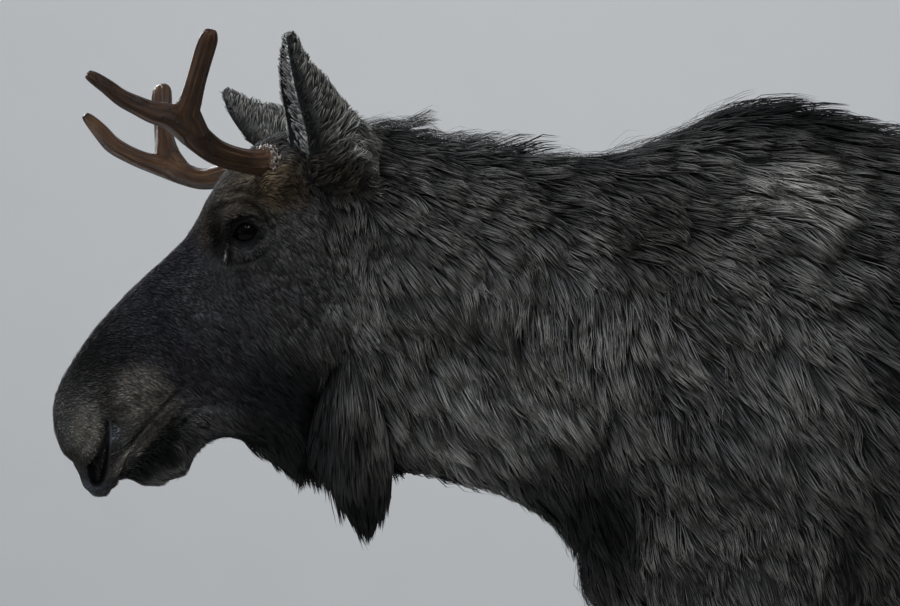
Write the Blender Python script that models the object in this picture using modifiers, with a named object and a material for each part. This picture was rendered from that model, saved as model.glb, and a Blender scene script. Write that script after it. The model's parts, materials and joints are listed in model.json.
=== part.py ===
"""A young bull moose, standing, life size, in metres.

The animal faces -X, its left side is -Y and +Z is up. It is drawn with the top of
the withers above X = 0. The last step moves it so that the origin is the middle of
its bounding box on the ground.

Flesh is modelled whole, from ribs that run from a front or top edge to a back or
bottom edge, fused and then parted into named nodes by thin cuts.
"""

import math

import bmesh
import bpy
import numpy as np
from mathutils import Matrix, Vector
from mathutils.bvhtree import BVHTree

# Driving sizes
GAP = 0.0003
FLESH_VOXEL = 0.006
TRUNK_EASE_ROUNDS = 90
FINE_EASE_ROUNDS = 7
FLESH_TRIANGLES = 6700
HEAD_CARE = 0.85
LEG_CARE = 0.16
CARE_STRENGTH = 0.01
ANTLER_VOXEL = 0.0035
ANTLER_TRIANGLES = 400

# The head looks a little to its left and leans a little to its right.
HEAD_PIVOT = Vector((-0.56, 0.0, 1.55))
HEAD_YAW = math.radians(7.0)
HEAD_ROLL = math.radians(2.5)

LEFT = -1
RIGHT = 1
SIDE_NAMES = {LEFT: "left", RIGHT: "right"}

# Head ribs: top x, top z, bottom x, bottom z, then half widths down the rib.
HEAD_RIBS = (
    (-0.993, 1.238, -0.928, 1.213, 0.036, 0.050, 0.052, 0.040),
    (-1.008, 1.284, -0.919, 1.221, 0.046, 0.062, 0.063, 0.050),
    (-1.011, 1.330, -0.909, 1.233, 0.051, 0.068, 0.069, 0.055),
    (-0.997, 1.388, -0.893, 1.254, 0.054, 0.068, 0.071, 0.058),
    (-0.954, 1.454, -0.868, 1.281, 0.052, 0.064, 0.069, 0.058),
    (-0.905, 1.508, -0.836, 1.306, 0.050, 0.060, 0.066, 0.056),
    (-0.855, 1.557, -0.780, 1.302, 0.050, 0.062, 0.066, 0.054),
    (-0.818, 1.603, -0.716, 1.270, 0.060, 0.078, 0.072, 0.050),
    (-0.789, 1.649, -0.660, 1.254, 0.080, 0.102, 0.082, 0.054),
    (-0.760, 1.689, -0.606, 1.258, 0.090, 0.112, 0.094, 0.060),
    (-0.718, 1.721, -0.566, 1.335, 0.086, 0.108, 0.102, 0.070),
    (-0.662, 1.746, -0.544, 1.425, 0.072, 0.098, 0.104, 0.080),
    (-0.603, 1.758, -0.529, 1.515, 0.062, 0.090, 0.102, 0.088),
)
HEAD_START = (-0.964, 1.206)
HEAD_END = (-0.500, 1.640)

# Lower lip, chin and the front of the lower jaw
JAW_RIBS = (
    (-0.918, 1.248, -0.904, 1.226, 0.026, 0.034, 0.034, 0.024),
    (-0.892, 1.286, -0.868, 1.222, 0.040, 0.050, 0.048, 0.034),
    (-0.858, 1.318, -0.829, 1.238, 0.048, 0.056, 0.053, 0.040),
    (-0.818, 1.345, -0.795, 1.272, 0.052, 0.058, 0.054, 0.042),
    (-0.762, 1.360, -0.752, 1.286, 0.054, 0.060, 0.056, 0.044),
)
JAW_START = (-0.924, 1.230)
JAW_END = (-0.690, 1.330)

# Haired stump under each antler: middle, half sizes, turn about Y in degrees
PEDICLE = ((-0.690, 0.076, 1.678), (0.040, 0.036, 0.036), -10.0)

# Neck ribs, from inside the head to inside the chest
NECK_RIBS = (
    (-0.590, 1.752, -0.640, 1.262, 0.064, 0.098, 0.108, 0.062),
    (-0.529, 1.767, -0.588, 1.240, 0.060, 0.108, 0.124, 0.070),
    (-0.463, 1.759, -0.515, 1.234, 0.058, 0.114, 0.134, 0.078),
    (-0.375, 1.738, -0.426, 1.220, 0.058, 0.124, 0.146, 0.088),
    (-0.279, 1.731, -0.353, 1.200, 0.064, 0.138, 0.162, 0.096),
    (-0.191, 1.735, -0.288, 1.160, 0.070, 0.158, 0.184, 0.106),
    (-0.100, 1.768, -0.225, 1.092, 0.076, 0.178, 0.208, 0.116),
    (0.000, 1.784, -0.140, 1.035, 0.080, 0.196, 0.224, 0.126),
)
NECK_START = (-0.680, 1.520)
NECK_END = (0.120, 1.400)

# Torso ribs, from the front of the chest to the buttocks
TORSO_RIBS = (
    (-0.120, 1.752, -0.200, 1.040, 0.066, 0.170, 0.205, 0.116),
    (-0.035, 1.806, -0.130, 0.992, 0.068, 0.194, 0.230, 0.124),
    (0.080, 1.800, 0.000, 0.978, 0.076, 0.224, 0.250, 0.132),
    (0.230, 1.760, 0.170, 0.972, 0.094, 0.250, 0.272, 0.142),
    (0.410, 1.704, 0.390, 0.962, 0.108, 0.270, 0.292, 0.152),
    (0.595, 1.656, 0.590, 0.968, 0.120, 0.274, 0.298, 0.152),
    (0.780, 1.632, 0.780, 1.004, 0.128, 0.260, 0.276, 0.134),
    (0.945, 1.640, 0.940, 1.060, 0.130, 0.246, 0.240, 0.104),
    (1.085, 1.622, 1.080, 1.104, 0.122, 0.234, 0.214, 0.088),
    (1.220, 1.562, 1.200, 1.130, 0.100, 0.200, 0.188, 0.078),
    (1.318, 1.474, 1.296, 1.190, 0.070, 0.150, 0.142, 0.060),
)
TORSO_START = (-0.236, 1.330)
TORSO_END = (1.372, 1.340)

# Foreleg ribs: front x, front z, back x, back z, middle y, half width
FORELEG_RIBS = (
    (-0.150, 1.240, 0.170, 1.220, 0.135, 0.085),
    (-0.165, 1.120, 0.168, 1.135, 0.150, 0.090),
    (-0.140, 1.025, 0.155, 1.060, 0.152, 0.083),
    (-0.090, 0.920, 0.108, 0.945, 0.150, 0.067),
    (-0.060, 0.800, 0.074, 0.805, 0.145, 0.054),
    (-0.046, 0.680, 0.054, 0.680, 0.140, 0.045),
    (-0.054, 0.605, 0.048, 0.600, 0.138, 0.047),
    (-0.052, 0.545, 0.052, 0.545, 0.138, 0.045),
    (-0.031, 0.465, 0.045, 0.465, 0.136, 0.034),
    (-0.025, 0.335, 0.038, 0.335, 0.134, 0.028),
    (-0.031, 0.225, 0.050, 0.225, 0.133, 0.035),
    (-0.043, 0.172, 0.050, 0.180, 0.133, 0.040),
    (-0.062, 0.125, 0.028, 0.142, 0.133, 0.039),
    (-0.086, 0.085, 0.008, 0.088, 0.133, 0.048),
    (-0.099, 0.055, 0.001, 0.045, 0.133, 0.049),
)
FORELEG_START = (0.020, 1.300)
FORELEG_END = (-0.055, 0.030)

# Hind leg ribs, as the foreleg's
HINDLEG_RIBS = (
    (0.900, 1.380, 1.310, 1.370, 0.130, 0.105),
    (0.840, 1.220, 1.340, 1.230, 0.148, 0.114),
    (0.836, 1.085, 1.310, 1.095, 0.156, 0.106),
    (0.905, 0.975, 1.276, 0.998, 0.155, 0.087),
    (1.000, 0.865, 1.272, 0.888, 0.148, 0.066),
    (1.090, 0.768, 1.292, 0.788, 0.142, 0.050),
    (1.152, 0.690, 1.318, 0.708, 0.138, 0.044),
    (1.186, 0.610, 1.316, 0.628, 0.136, 0.044),
    (1.214, 0.535, 1.302, 0.535, 0.135, 0.037),
    (1.226, 0.400, 1.292, 0.400, 0.134, 0.029),
    (1.222, 0.300, 1.288, 0.300, 0.134, 0.029),
    (1.216, 0.222, 1.298, 0.224, 0.134, 0.036),
    (1.202, 0.170, 1.298, 0.180, 0.134, 0.040),
    (1.180, 0.125, 1.270, 0.142, 0.134, 0.039),
    (1.156, 0.085, 1.250, 0.088, 0.135, 0.048),
    (1.143, 0.055, 1.243, 0.045, 0.135, 0.049),
)
HINDLEG_START = (1.100, 1.460)
HINDLEG_END = (1.187, 0.030)

# How far each leg stands ahead of (-) or behind (+) the drawn one
LEG_STEP = {
    ("fore", LEFT): 0.0,
    ("fore", RIGHT): 0.050,
    ("hind", LEFT): 0.055,
    ("hind", RIGHT): -0.060,
}

# Swells and hollows of the fused flesh, on both sides: middle, half sizes, turn
# about Y in degrees, and how far the surface moves out.
BODY_SWELLS = (
    ("shoulder_blade", (0.000, 0.175, 1.500), (0.130, 0.140, 0.300), 18.0, 0.016),
    ("upper_arm", (-0.100, 0.200, 1.240), (0.130, 0.160, 0.130), -30.0, 0.022),
    ("triceps", (0.070, 0.215, 1.240), (0.150, 0.160, 0.170), 25.0, 0.022),
    ("behind_shoulder", (0.240, 0.280, 1.300), (0.110, 0.160, 0.260), 10.0, -0.014),
    ("flank", (0.790, 0.270, 1.350), (0.160, 0.180, 0.240), 15.0, -0.018),
    ("hip_point", (0.930, 0.220, 1.540), (0.100, 0.120, 0.080), 0.0, 0.020),
    ("haunch", (1.090, 0.240, 1.330), (0.230, 0.180, 0.260), 12.0, 0.022),
    ("stifle", (0.900, 0.230, 1.090), (0.110, 0.150, 0.120), 30.0, 0.016),
    ("neck_groove", (-0.330, 0.160, 1.380), (0.260, 0.140, 0.080), 12.0, -0.014),
)
HEAD_SWELLS = (
    ("cheek", (-0.640, 0.090, 1.430), (0.110, 0.090, 0.140), 30.0, 0.014),
    ("orbit", (-0.738, 0.090, 1.600), (0.075, 0.070, 0.070), 0.0, 0.012),
    ("brow", (-0.742, 0.100, 1.628), (0.050, 0.060, 0.026), 20.0, 0.008),
    ("cheek_bone", (-0.715, 0.105, 1.552), (0.070, 0.060, 0.030), 40.0, 0.005),
    ("eye_hollow", (-0.752, 0.090, 1.588), (0.032, 0.060, 0.030), 20.0, -0.007),
    ("tear_groove", (-0.775, 0.075, 1.555), (0.040, 0.060, 0.020), 60.0, -0.006),
    ("temple", (-0.660, 0.100, 1.640), (0.070, 0.080, 0.060), 20.0, -0.010),
    ("nostril_wing", (-0.975, 0.058, 1.290), (0.036, 0.060, 0.062), 10.0, 0.010),
    ("nostril_hollow", (-0.918, 0.065, 1.318), (0.030, 0.060, 0.050), 40.0, -0.006),
    ("lip_pad", (-0.876, 0.060, 1.350), (0.060, 0.060, 0.046), 50.0, 0.006),
    ("mouth_corner", (-0.812, 0.060, 1.335), (0.044, 0.050, 0.040), 50.0, 0.008),
)

# Thin cuts that part the flesh: a point on the plane and its outward direction.
# A leg's planes are drawn for the right side and mirrored to the left.
HEAD_CUT = ((-0.570, 0.0, 1.507), (0.979, 0.0, -0.205))
NECK_CUT = ((-0.198, 0.0, 1.455), (0.972, 0.0, -0.234))
FORE_CUTS = (
    ((0.0, 0.010, 0.0), (0.0, -1.0, 0.0)),
    ((-0.180, 0.0, 1.030), (-0.850, 0.0, 0.527)),
    ((0.200, 0.0, 1.000), (0.940, 0.0, 0.342)),
    ((0.0, 0.030, 0.955), (0.0, -0.600, 0.800)),
)
HIND_CUTS = (
    ((0.0, 0.010, 0.0), (0.0, -1.0, 0.0)),
    ((0.815, 0.0, 1.030), (-0.966, 0.0, 0.259)),
    ((0.0, 0.022, 1.070), (0.0, -0.720, 0.694)),
)
KNEE_CUT = ((0.0, 0.0, 0.575), (0.0, 0.0, -1.0))
HOCK_CUT = ((1.220, 0.0, 0.668), (0.30, 0.0, -0.954))
FORE_CORONET = ((-0.046, 0.0, 0.065), (-0.275, 0.0, -0.961))
HIND_CORONET = ((1.196, 0.0, 0.065), (-0.275, 0.0, -0.961))

# Claws, from the heel forwards: distance, half width, height
CLAW_STATIONS = (
    (0.000, 0.0105, 0.030),
    (0.010, 0.0165, 0.046),
    (0.022, 0.0198, 0.110),
    (0.078, 0.0208, 0.110),
    (0.091, 0.0202, 0.072),
    (0.122, 0.0165, 0.042),
    (0.150, 0.0050, 0.011),
)
# Around a claw from the sole's outer edge: share of the half width and the height
CLAW_RING = (
    (-0.94, 0.0),
    (0.94, 0.0),
    (1.0, 0.40),
    (0.80, 0.86),
    (0.0, 1.0),
    (-0.80, 0.86),
    (-1.0, 0.40),
)
CLAW_HEEL = {"fore": (0.006, 0.133), "hind": (1.248, 0.135)}
CLAW_SPREAD = 0.0228
DEWCLAW = {"fore": (0.015, 0.133, 0.120), "hind": (1.257, 0.134, 0.120)}
DEWCLAW_SPREAD = 0.021
DEWCLAW_HALF = (0.0130, 0.0110, 0.0270)

# Eyes, with the tilt and slant of the lids' opening
EYE_SPOT = (-0.738, 0.090, 1.590)
EYE_RADIUS = 0.0200
EYE_SUNK = 0.0115
EYE_SIDES = (12, 7)
EYE_FACING = (-0.20, 1.0, 0.08)
LID_TILT = math.radians(14.0)
LID_HALF_LENGTH = 0.0200
UPPER_LID = 0.0135
LOWER_LID = 0.0118

# Mouth line from its corner forwards, and the nostril from its top:
# x, y, z, half width of the cut, depth of the cut
MOUTH_LINE = (
    (-0.822, 0.064, 1.338, 0.0012, 0.006),
    (-0.842, 0.066, 1.318, 0.0020, 0.010),
    (-0.864, 0.066, 1.300, 0.0020, 0.011),
    (-0.889, 0.062, 1.272, 0.0020, 0.012),
    (-0.902, 0.055, 1.256, 0.0016, 0.010),
)
NOSTRIL = (
    (-0.931, 0.070, 1.322, 0.0012, 0.006),
    (-0.934, 0.070, 1.300, 0.0022, 0.014),
    (-0.938, 0.068, 1.281, 0.0048, 0.020),
    (-0.943, 0.066, 1.264, 0.0078, 0.024),
    (-0.950, 0.060, 1.247, 0.0105, 0.024),
    (-0.954, 0.054, 1.236, 0.0085, 0.016),
)

# Ears: base, tip, direction of the opening
EARS = {
    LEFT: ((-0.585, -0.088, 1.672), (-0.668, -0.205, 1.872), (-0.95, -0.30, -0.20)),
    RIGHT: ((-0.596, 0.094, 1.690), (-0.776, 0.236, 1.826), (-0.72, 0.30, -0.62)),
}
# From base to tip: place, half width, depth, opening edge ahead of the axis, wrap
EAR_STATIONS = (
    (-0.10, 0.0300, 0.058, 0.022, 160.0),
    (0.02, 0.0370, 0.072, 0.027, 150.0),
    (0.14, 0.0440, 0.078, 0.032, 118.0),
    (0.30, 0.0500, 0.076, 0.035, 100.0),
    (0.46, 0.0500, 0.068, 0.035, 94.0),
    (0.62, 0.0440, 0.054, 0.031, 92.0),
    (0.77, 0.0330, 0.033, 0.024, 90.0),
    (0.90, 0.0180, 0.020, 0.013, 90.0),
    (0.98, 0.0075, 0.010, 0.005, 90.0),
)
EAR_WALL = 0.0075
EAR_AROUND = 7

# Antlers: x, y, z and radius along the beam, the front tine and the rear tine
ANTLERS = {
    LEFT: (
        (
            (-0.665, -0.070, 1.684, 0.0190),
            (-0.690, -0.098, 1.690, 0.0196),
            (-0.697, -0.105, 1.690, 0.0212),
            (-0.719, -0.125, 1.688, 0.0181),
            (-0.745, -0.150, 1.691, 0.0174),
            (-0.772, -0.180, 1.699, 0.0187),
            (-0.794, -0.208, 1.714, 0.0205),
            (-0.810, -0.228, 1.729, 0.0215),
        ),
        (
            (-0.800, -0.216, 1.720, 0.0205),
            (-0.832, -0.246, 1.743, 0.0190),
            (-0.860, -0.262, 1.750, 0.0155),
            (-0.880, -0.272, 1.758, 0.0135),
            (-0.902, -0.284, 1.768, 0.0121),
            (-0.924, -0.294, 1.784, 0.0107),
            (-0.941, -0.300, 1.795, 0.0092),
            (-0.951, -0.302, 1.801, 0.0066),
        ),
        (
            (-0.800, -0.216, 1.720, 0.0205),
            (-0.811, -0.242, 1.749, 0.0195),
            (-0.805, -0.258, 1.767, 0.0157),
            (-0.797, -0.276, 1.792, 0.0139),
            (-0.789, -0.294, 1.816, 0.0139),
            (-0.781, -0.310, 1.839, 0.0142),
            (-0.776, -0.319, 1.852, 0.0128),
            (-0.774, -0.324, 1.861, 0.0080),
        ),
    ),
    RIGHT: (
        (
            (-0.700, 0.062, 1.690, 0.0190),
            (-0.731, 0.094, 1.694, 0.0196),
            (-0.739, 0.101, 1.694, 0.0212),
            (-0.769, 0.130, 1.688, 0.0179),
            (-0.803, 0.160, 1.684, 0.0158),
            (-0.834, 0.192, 1.694, 0.0168),
            (-0.852, 0.212, 1.705, 0.0190),
        ),
        (
            (-0.840, 0.200, 1.698, 0.0180),
            (-0.875, 0.232, 1.711, 0.0151),
            (-0.900, 0.250, 1.720, 0.0130),
            (-0.925, 0.266, 1.732, 0.0125),
            (-0.947, 0.280, 1.746, 0.0129),
            (-0.965, 0.292, 1.766, 0.0121),
            (-0.980, 0.300, 1.782, 0.0099),
            (-0.990, 0.304, 1.792, 0.0064),
        ),
        (
            (-0.840, 0.200, 1.698, 0.0180),
            (-0.860, 0.236, 1.725, 0.0186),
            (-0.866, 0.256, 1.748, 0.0151),
            (-0.870, 0.276, 1.774, 0.0126),
            (-0.872, 0.294, 1.799, 0.0144),
            (-0.873, 0.308, 1.819, 0.0156),
            (-0.873, 0.318, 1.832, 0.0133),
            (-0.874, 0.322, 1.838, 0.0085),
        ),
    ),
}
TINE_START = 0.040

# Bell under the throat: front x, front z, back x, back z, then half widths
BELL_RIBS = (
    (-0.622, 1.284, -0.522, 1.276, 0.009, 0.017, 0.019, 0.010),
    (-0.614, 1.248, -0.522, 1.236, 0.009, 0.016, 0.018, 0.010),
    (-0.604, 1.216, -0.524, 1.206, 0.009, 0.015, 0.016, 0.010),
    (-0.592, 1.192, -0.530, 1.184, 0.008, 0.013, 0.013, 0.008),
    (-0.578, 1.174, -0.540, 1.170, 0.006, 0.009, 0.010, 0.006),
)
BELL_START = (-0.565, 1.310)
BELL_END = (-0.556, 1.158)

# Tail: as the bell
TAIL_RIBS = (
    (1.286, 1.440, 1.334, 1.462, 0.016, 0.026, 0.026, 0.016),
    (1.312, 1.412, 1.366, 1.422, 0.016, 0.028, 0.028, 0.016),
    (1.332, 1.378, 1.384, 1.378, 0.014, 0.026, 0.026, 0.014),
    (1.348, 1.344, 1.386, 1.340, 0.010, 0.018, 0.018, 0.010),
)
TAIL_START = (1.290, 1.474)
TAIL_END = (1.372, 1.316)

# Long hair: how far the flesh under it lies inside the drawn outline, and the
# stations of a lock from its root: share of its length, of its width and of its
# thickness, and height over the flesh
COAT_CORE = 0.017
LOCK_SEED = 11
LOCK_STATIONS = (
    (0.00, 0.30, 0.90, -0.012),
    (0.28, 1.00, 1.00, 0.007),
    (0.64, 0.80, 0.80, 0.017),
    (1.00, 0.00, 0.00, 0.025),
)
LOCK_TURN = 4.0
LOCK_VARIES = 0.06
LOCK_ROOM = 0.020

# Where locks grow: the way the rows look at the flesh, lowest and highest place
# across that view, distance between roots, then length, width, thickness, lift, how
# freely a lock hangs and how far it spreads sideways
LOCK_PATCHES = (
    ("crest", "down", (-0.51, 0.0), (0.22, 0.035), 0.112, 0.180, 0.088, 0.007, 1.0, 0.0, 0.10),
    ("neck", "in", (-0.52, 1.30), (-0.24, 1.68), 0.116, 0.220, 0.100, 0.006, 1.0, 0.0, 0.10),
    ("shoulder", "in", (-0.14, 1.31), (0.23, 1.71), 0.124, 0.230, 0.108, 0.006, 1.0, 0.0, 0.10),
    ("chest", "up", (-0.42, 0.035), (-0.26, 0.04), 0.110, 0.130, 0.092, 0.008, 0.7, 0.0, 0.0),
    ("throat", "up", (-0.690, 0.0), (-0.655, 0.03), 0.034, 0.052, 0.040, 0.008, 0.7, 1.0, 0.0),
)
BELL_PATCH = (
    "bell", "in", (-0.604, 1.205), (-0.534, 1.245), 0.044, 0.088, 0.036, 0.007, 0.6, 0.80, -0.20
)

# Lie of the long hair seen from the side: x, z, and its way along x and z
HAIR_LIE = (
    (-0.48, 1.70, 1.00, -0.30),
    (-0.30, 1.73, 1.00, -0.06),
    (-0.40, 1.60, 0.75, -0.65),
    (-0.42, 1.50, 0.35, -0.95),
    (-0.42, 1.35, 0.30, -0.95),
    (-0.50, 1.28, 0.25, -0.97),
    (-0.25, 1.55, 0.65, -0.75),
    (-0.25, 1.40, 0.35, -0.93),
    (-0.12, 1.62, 0.85, -0.50),
    (0.00, 1.80, 1.00, 0.00),
    (0.16, 1.76, 0.97, -0.22),
    (0.00, 1.62, 0.90, -0.45),
    (0.05, 1.45, 0.60, -0.80),
    (0.00, 1.28, 0.45, -0.90),
    (-0.25, 1.20, 0.35, -0.94),
    (-0.67, 1.26, 0.10, -1.00),
    (-0.62, 1.20, 0.40, -0.90),
    (-0.56, 1.20, 0.05, -1.00),
    (-0.52, 1.20, -0.35, -0.93),
)

# Materials: colour, roughness
COAT = ("coat", (0.045, 0.040, 0.036), 0.85)
PALE_COAT = ("pale_coat", (0.23, 0.21, 0.18), 0.85)
EYE_BLACK = ("eye", (0.008, 0.006, 0.006), 0.08)
ANTLER_BONE = ("antler", (0.13, 0.085, 0.055), 0.45)
HOOF_HORN = ("hoof", (0.030, 0.026, 0.024), 0.40)


def clear_scene():
    for item in list(bpy.data.objects):
        bpy.data.objects.remove(item)


def collection_named(name, hidden=False):
    made = bpy.data.collections.new(name)
    bpy.context.scene.collection.children.link(made)
    made.hide_render = hidden
    return made


def material_named(kind):
    name, colour, roughness = kind
    found = bpy.data.materials.get(name)
    if found:
        return found
    made = bpy.data.materials.new(name)
    made.use_nodes = True
    shader = made.node_tree.nodes["Principled BSDF"]
    shader.inputs["Base Color"].default_value = (*colour, 1.0)
    shader.inputs["Roughness"].default_value = roughness
    made.diffuse_color = (*colour, 1.0)
    return made


def paint(item, kind):
    item.data.materials.clear()
    item.data.materials.append(material_named(kind))


def object_from(name, shape, home):
    """A mesh object made from a bmesh, which is freed."""
    mesh = bpy.data.meshes.new(name)
    bmesh.ops.recalc_face_normals(shape, faces=shape.faces)
    shape.to_mesh(mesh)
    shape.free()
    made = bpy.data.objects.new(name, mesh)
    home.objects.link(made)
    return made


def finished_mesh(item):
    """The object's mesh with its modifiers applied."""
    bpy.context.view_layer.update()
    graph = bpy.context.evaluated_depsgraph_get()
    mesh = bpy.data.meshes.new_from_object(item.evaluated_get(graph))
    mesh.transform(item.matrix_world)
    return mesh


def apply_modifiers(item):
    mesh = finished_mesh(item)
    item.modifiers.clear()
    item.matrix_world = Matrix.Identity(4)
    item.data = mesh


def smooth_curve(rows, places):
    """Rows of numbers read at fractional places, on a Catmull-Rom curve."""
    rows = np.asarray(rows, float)
    padded = np.vstack((2 * rows[0] - rows[1], rows, 2 * rows[-1] - rows[-2]))
    places = np.clip(np.asarray(places, float), 0.0, len(rows) - 1.0)
    span = np.minimum(places.astype(int), len(rows) - 2)
    t = (places - span)[:, None]
    a, b, c, d = (padded[span + k] for k in range(4))
    return 0.5 * (
        2 * b
        + (c - a) * t
        + (2 * a - 5 * b + 4 * c - d) * t**2
        + (3 * b - a - 3 * c + d) * t**3
    )


def rib_form(name, home, ribs, start, end, side=0, rings=48, sides=44, boxy=0.85):
    """A closed form over ribs, with rounded ends that reach start and end.

    A rib is front x, front z, back x, back z, middle y and four half widths.
    """
    ribs = np.asarray(ribs, float)
    cap = 5
    shape = bmesh.new()
    bmesh.ops.create_uvsphere(
        shape, u_segments=sides, v_segments=rings + 2 * cap, radius=1.0
    )
    steps = rings + 2 * cap
    for vert in shape.verts:
        step = round(math.acos(max(-1.0, min(1.0, vert.co.z))) / math.pi * steps)
        turn = math.atan2(vert.co.y, vert.co.x)
        along = (step - cap) / rings * (len(ribs) - 1)
        row = smooth_curve(ribs, [along])[0]
        front = np.array((row[0], row[1]))
        back = np.array((row[2], row[3]))
        share = 1.0
        shift = np.zeros(2)
        beyond = max(cap - step, step - rings - cap)
        if beyond > 0:
            tip = np.array(start if step < cap else end)
            angle = (1.0 - beyond / cap) * math.pi / 2
            share = math.sin(angle)
            shift = (tip - (front + back) / 2) * (1.0 - (1.0 - math.cos(angle)))
        down = (1.0 - math.cos(turn)) / 2
        middle = (front + back) / 2
        point = middle + (front + (back - front) * down - middle) * share + shift
        width = smooth_curve(row[5:9, None], [down * 3])[0][0]
        reach = abs(math.sin(turn)) ** boxy * width * share
        lateral = row[4] * side + math.copysign(reach, math.sin(turn))
        vert.co = (point[0], lateral, point[1])
    return object_from(name, shape, home)


def central_ribs(ribs):
    """Ribs of the head or trunk, given a middle y of 0."""
    return [(*rib[:4], 0.0, *rib[4:]) for rib in ribs]


def leg_ribs(ribs, step):
    """Ribs of a leg, given four half widths and moved along X towards the ground."""
    made = []
    for front_x, front_z, back_x, back_z, middle, width in ribs:
        lean = step * min(1.0, max(0.0, (1.15 - front_z) / 0.75))
        made.append(
            (front_x + lean, front_z, back_x + lean, back_z, middle)
            + (width * 0.86, width, width, width * 0.82)
        )
    return made


def ellipsoid(name, home, middle, half, turn, rings=14, sides=20):
    shape = bmesh.new()
    bmesh.ops.create_uvsphere(shape, u_segments=sides, v_segments=rings, radius=1.0)
    place = (
        Matrix.Translation(middle)
        @ Matrix.Rotation(math.radians(turn), 4, "Y")
        @ Matrix.Diagonal((*half, 1.0))
    )
    bmesh.ops.transform(shape, matrix=place, verts=shape.verts)
    return object_from(name, shape, home)


def head_place():
    """The turn that takes the head from facing straight ahead to its pose."""
    return (
        Matrix.Translation(HEAD_PIVOT)
        @ Matrix.Rotation(HEAD_YAW, 4, "Z")
        @ Matrix.Rotation(HEAD_ROLL, 4, "X")
        @ Matrix.Translation(-HEAD_PIVOT)
    )


def head_forms(home):
    made = [
        rib_form("skull", home, central_ribs(HEAD_RIBS), HEAD_START, HEAD_END),
        rib_form("jaw", home, central_ribs(JAW_RIBS), JAW_START, JAW_END, rings=20),
    ]
    for side in (LEFT, RIGHT):
        middle, half, turn = PEDICLE
        spot = (middle[0], middle[1] * side, middle[2])
        made.append(ellipsoid("pedicle", home, spot, half, turn))
    for item in made:
        item.data.transform(head_place())
    return made


def body_forms(home):
    made = [
        rib_form("neck", home, central_ribs(NECK_RIBS), NECK_START, NECK_END),
        rib_form("trunk", home, central_ribs(TORSO_RIBS), TORSO_START, TORSO_END),
    ]
    for side in (LEFT, RIGHT):
        for pair, ribs, start, end in (
            ("fore", FORELEG_RIBS, FORELEG_START, FORELEG_END),
            ("hind", HINDLEG_RIBS, HINDLEG_START, HINDLEG_END),
        ):
            step = LEG_STEP[pair, side]
            foot = (end[0] + step, end[1])
            made.append(
                rib_form(
                    pair, home, leg_ribs(ribs, step), start, foot,
                    side=side, rings=64, sides=28, boxy=0.92,
                )
            )
    return made


def joined(name, items, home):
    """One object that holds the meshes of all the items, which are removed."""
    shape = bmesh.new()
    for item in items:
        shape.from_mesh(item.data)
        bpy.data.objects.remove(item)
    return object_from(name, shape, home)


def coordinates(mesh):
    points = np.empty(len(mesh.vertices) * 3, np.float32)
    mesh.vertices.foreach_get("co", points)
    return points.reshape(-1, 3).astype(float)


def normals(mesh):
    found = np.empty(len(mesh.vertices) * 3, np.float32)
    mesh.vertex_normals.foreach_get("vector", found)
    return found.reshape(-1, 3).astype(float)


def move_to(mesh, points):
    mesh.vertices.foreach_set("co", points.astype(np.float32).ravel())
    mesh.update()


def ramp(values, low, high):
    """0 below low, 1 above high and smooth between, whichever is larger."""
    share = np.clip((values - low) / (high - low), 0.0, 1.0)
    return share * share * (3.0 - 2.0 * share)


def swell(mesh, swells, place=None):
    """Moves the surface out or in around each swell, on both sides."""
    place = place or Matrix.Identity(4)
    for name, middle, half, turn, amount in swells:
        for side in (LEFT, RIGHT):
            spot = Vector((middle[0], middle[1] * side, middle[2]))
            frame = (
                place
                @ Matrix.Translation(spot)
                @ Matrix.Rotation(math.radians(turn), 4, "Y")
                @ Matrix.Diagonal((*half, 1.0))
            )
            back = np.array(frame.inverted())
            points = coordinates(mesh)
            local = points @ back[:3, :3].T + back[:3, 3]
            share = np.clip(1.0 - (local**2).sum(1), 0.0, 1.0) ** 2
            move_to(mesh, points + normals(mesh) * (share * amount)[:, None])


def ease(mesh, rounds, share=None):
    """Evens the surface by moving each vertex half way to its neighbours' middle."""
    ends = np.empty(len(mesh.edges) * 2, np.int32)
    mesh.edges.foreach_get("vertices", ends)
    one, other = ends.reshape(-1, 2).T
    size = len(mesh.vertices)
    count = np.bincount(one, minlength=size) + np.bincount(other, minlength=size)
    points = coordinates(mesh)
    pull = 0.5 if share is None else 0.5 * share[:, None]
    for _ in range(rounds):
        total = np.empty_like(points)
        for axis in range(3):
            line = points[:, axis]
            total[:, axis] = np.bincount(one, line[other], size)
            total[:, axis] += np.bincount(other, line[one], size)
        points += (total / count[:, None] - points) * pull
    move_to(mesh, points)


def fuse(item, voxel):
    """One closed surface round all the forms of the item."""
    remesh = item.modifiers.new("fuse", "REMESH")
    remesh.mode = "VOXEL"
    remesh.voxel_size = voxel
    apply_modifiers(item)
    return item


def largest_body(item):
    """Keeps only the closed surface with the most faces."""
    shape = bmesh.new()
    shape.from_mesh(item.data)
    left = set(shape.faces)
    best = []
    while left:
        found = {left.pop()}
        rim = list(found)
        while rim:
            for edge in rim.pop().edges:
                for beyond in edge.link_faces if len(edge.link_faces) == 2 else ():
                    if beyond in left:
                        left.discard(beyond)
                        found.add(beyond)
                        rim.append(beyond)
        if len(found) > len(best):
            best = found
    spare = [face for face in shape.faces if face not in best]
    bmesh.ops.delete(shape, geom=spare, context="FACES")
    shape.to_mesh(item.data)
    shape.free()
    return item


def long_coat(points):
    """1 where the neck, withers and shoulders carry long hair, 0 elsewhere."""
    share = ramp(points[:, 0], -0.56, -0.46) * (1.0 - ramp(points[:, 0], 0.20, 0.34))
    return share * ramp(points[:, 2], 1.04, 1.16)


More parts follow.
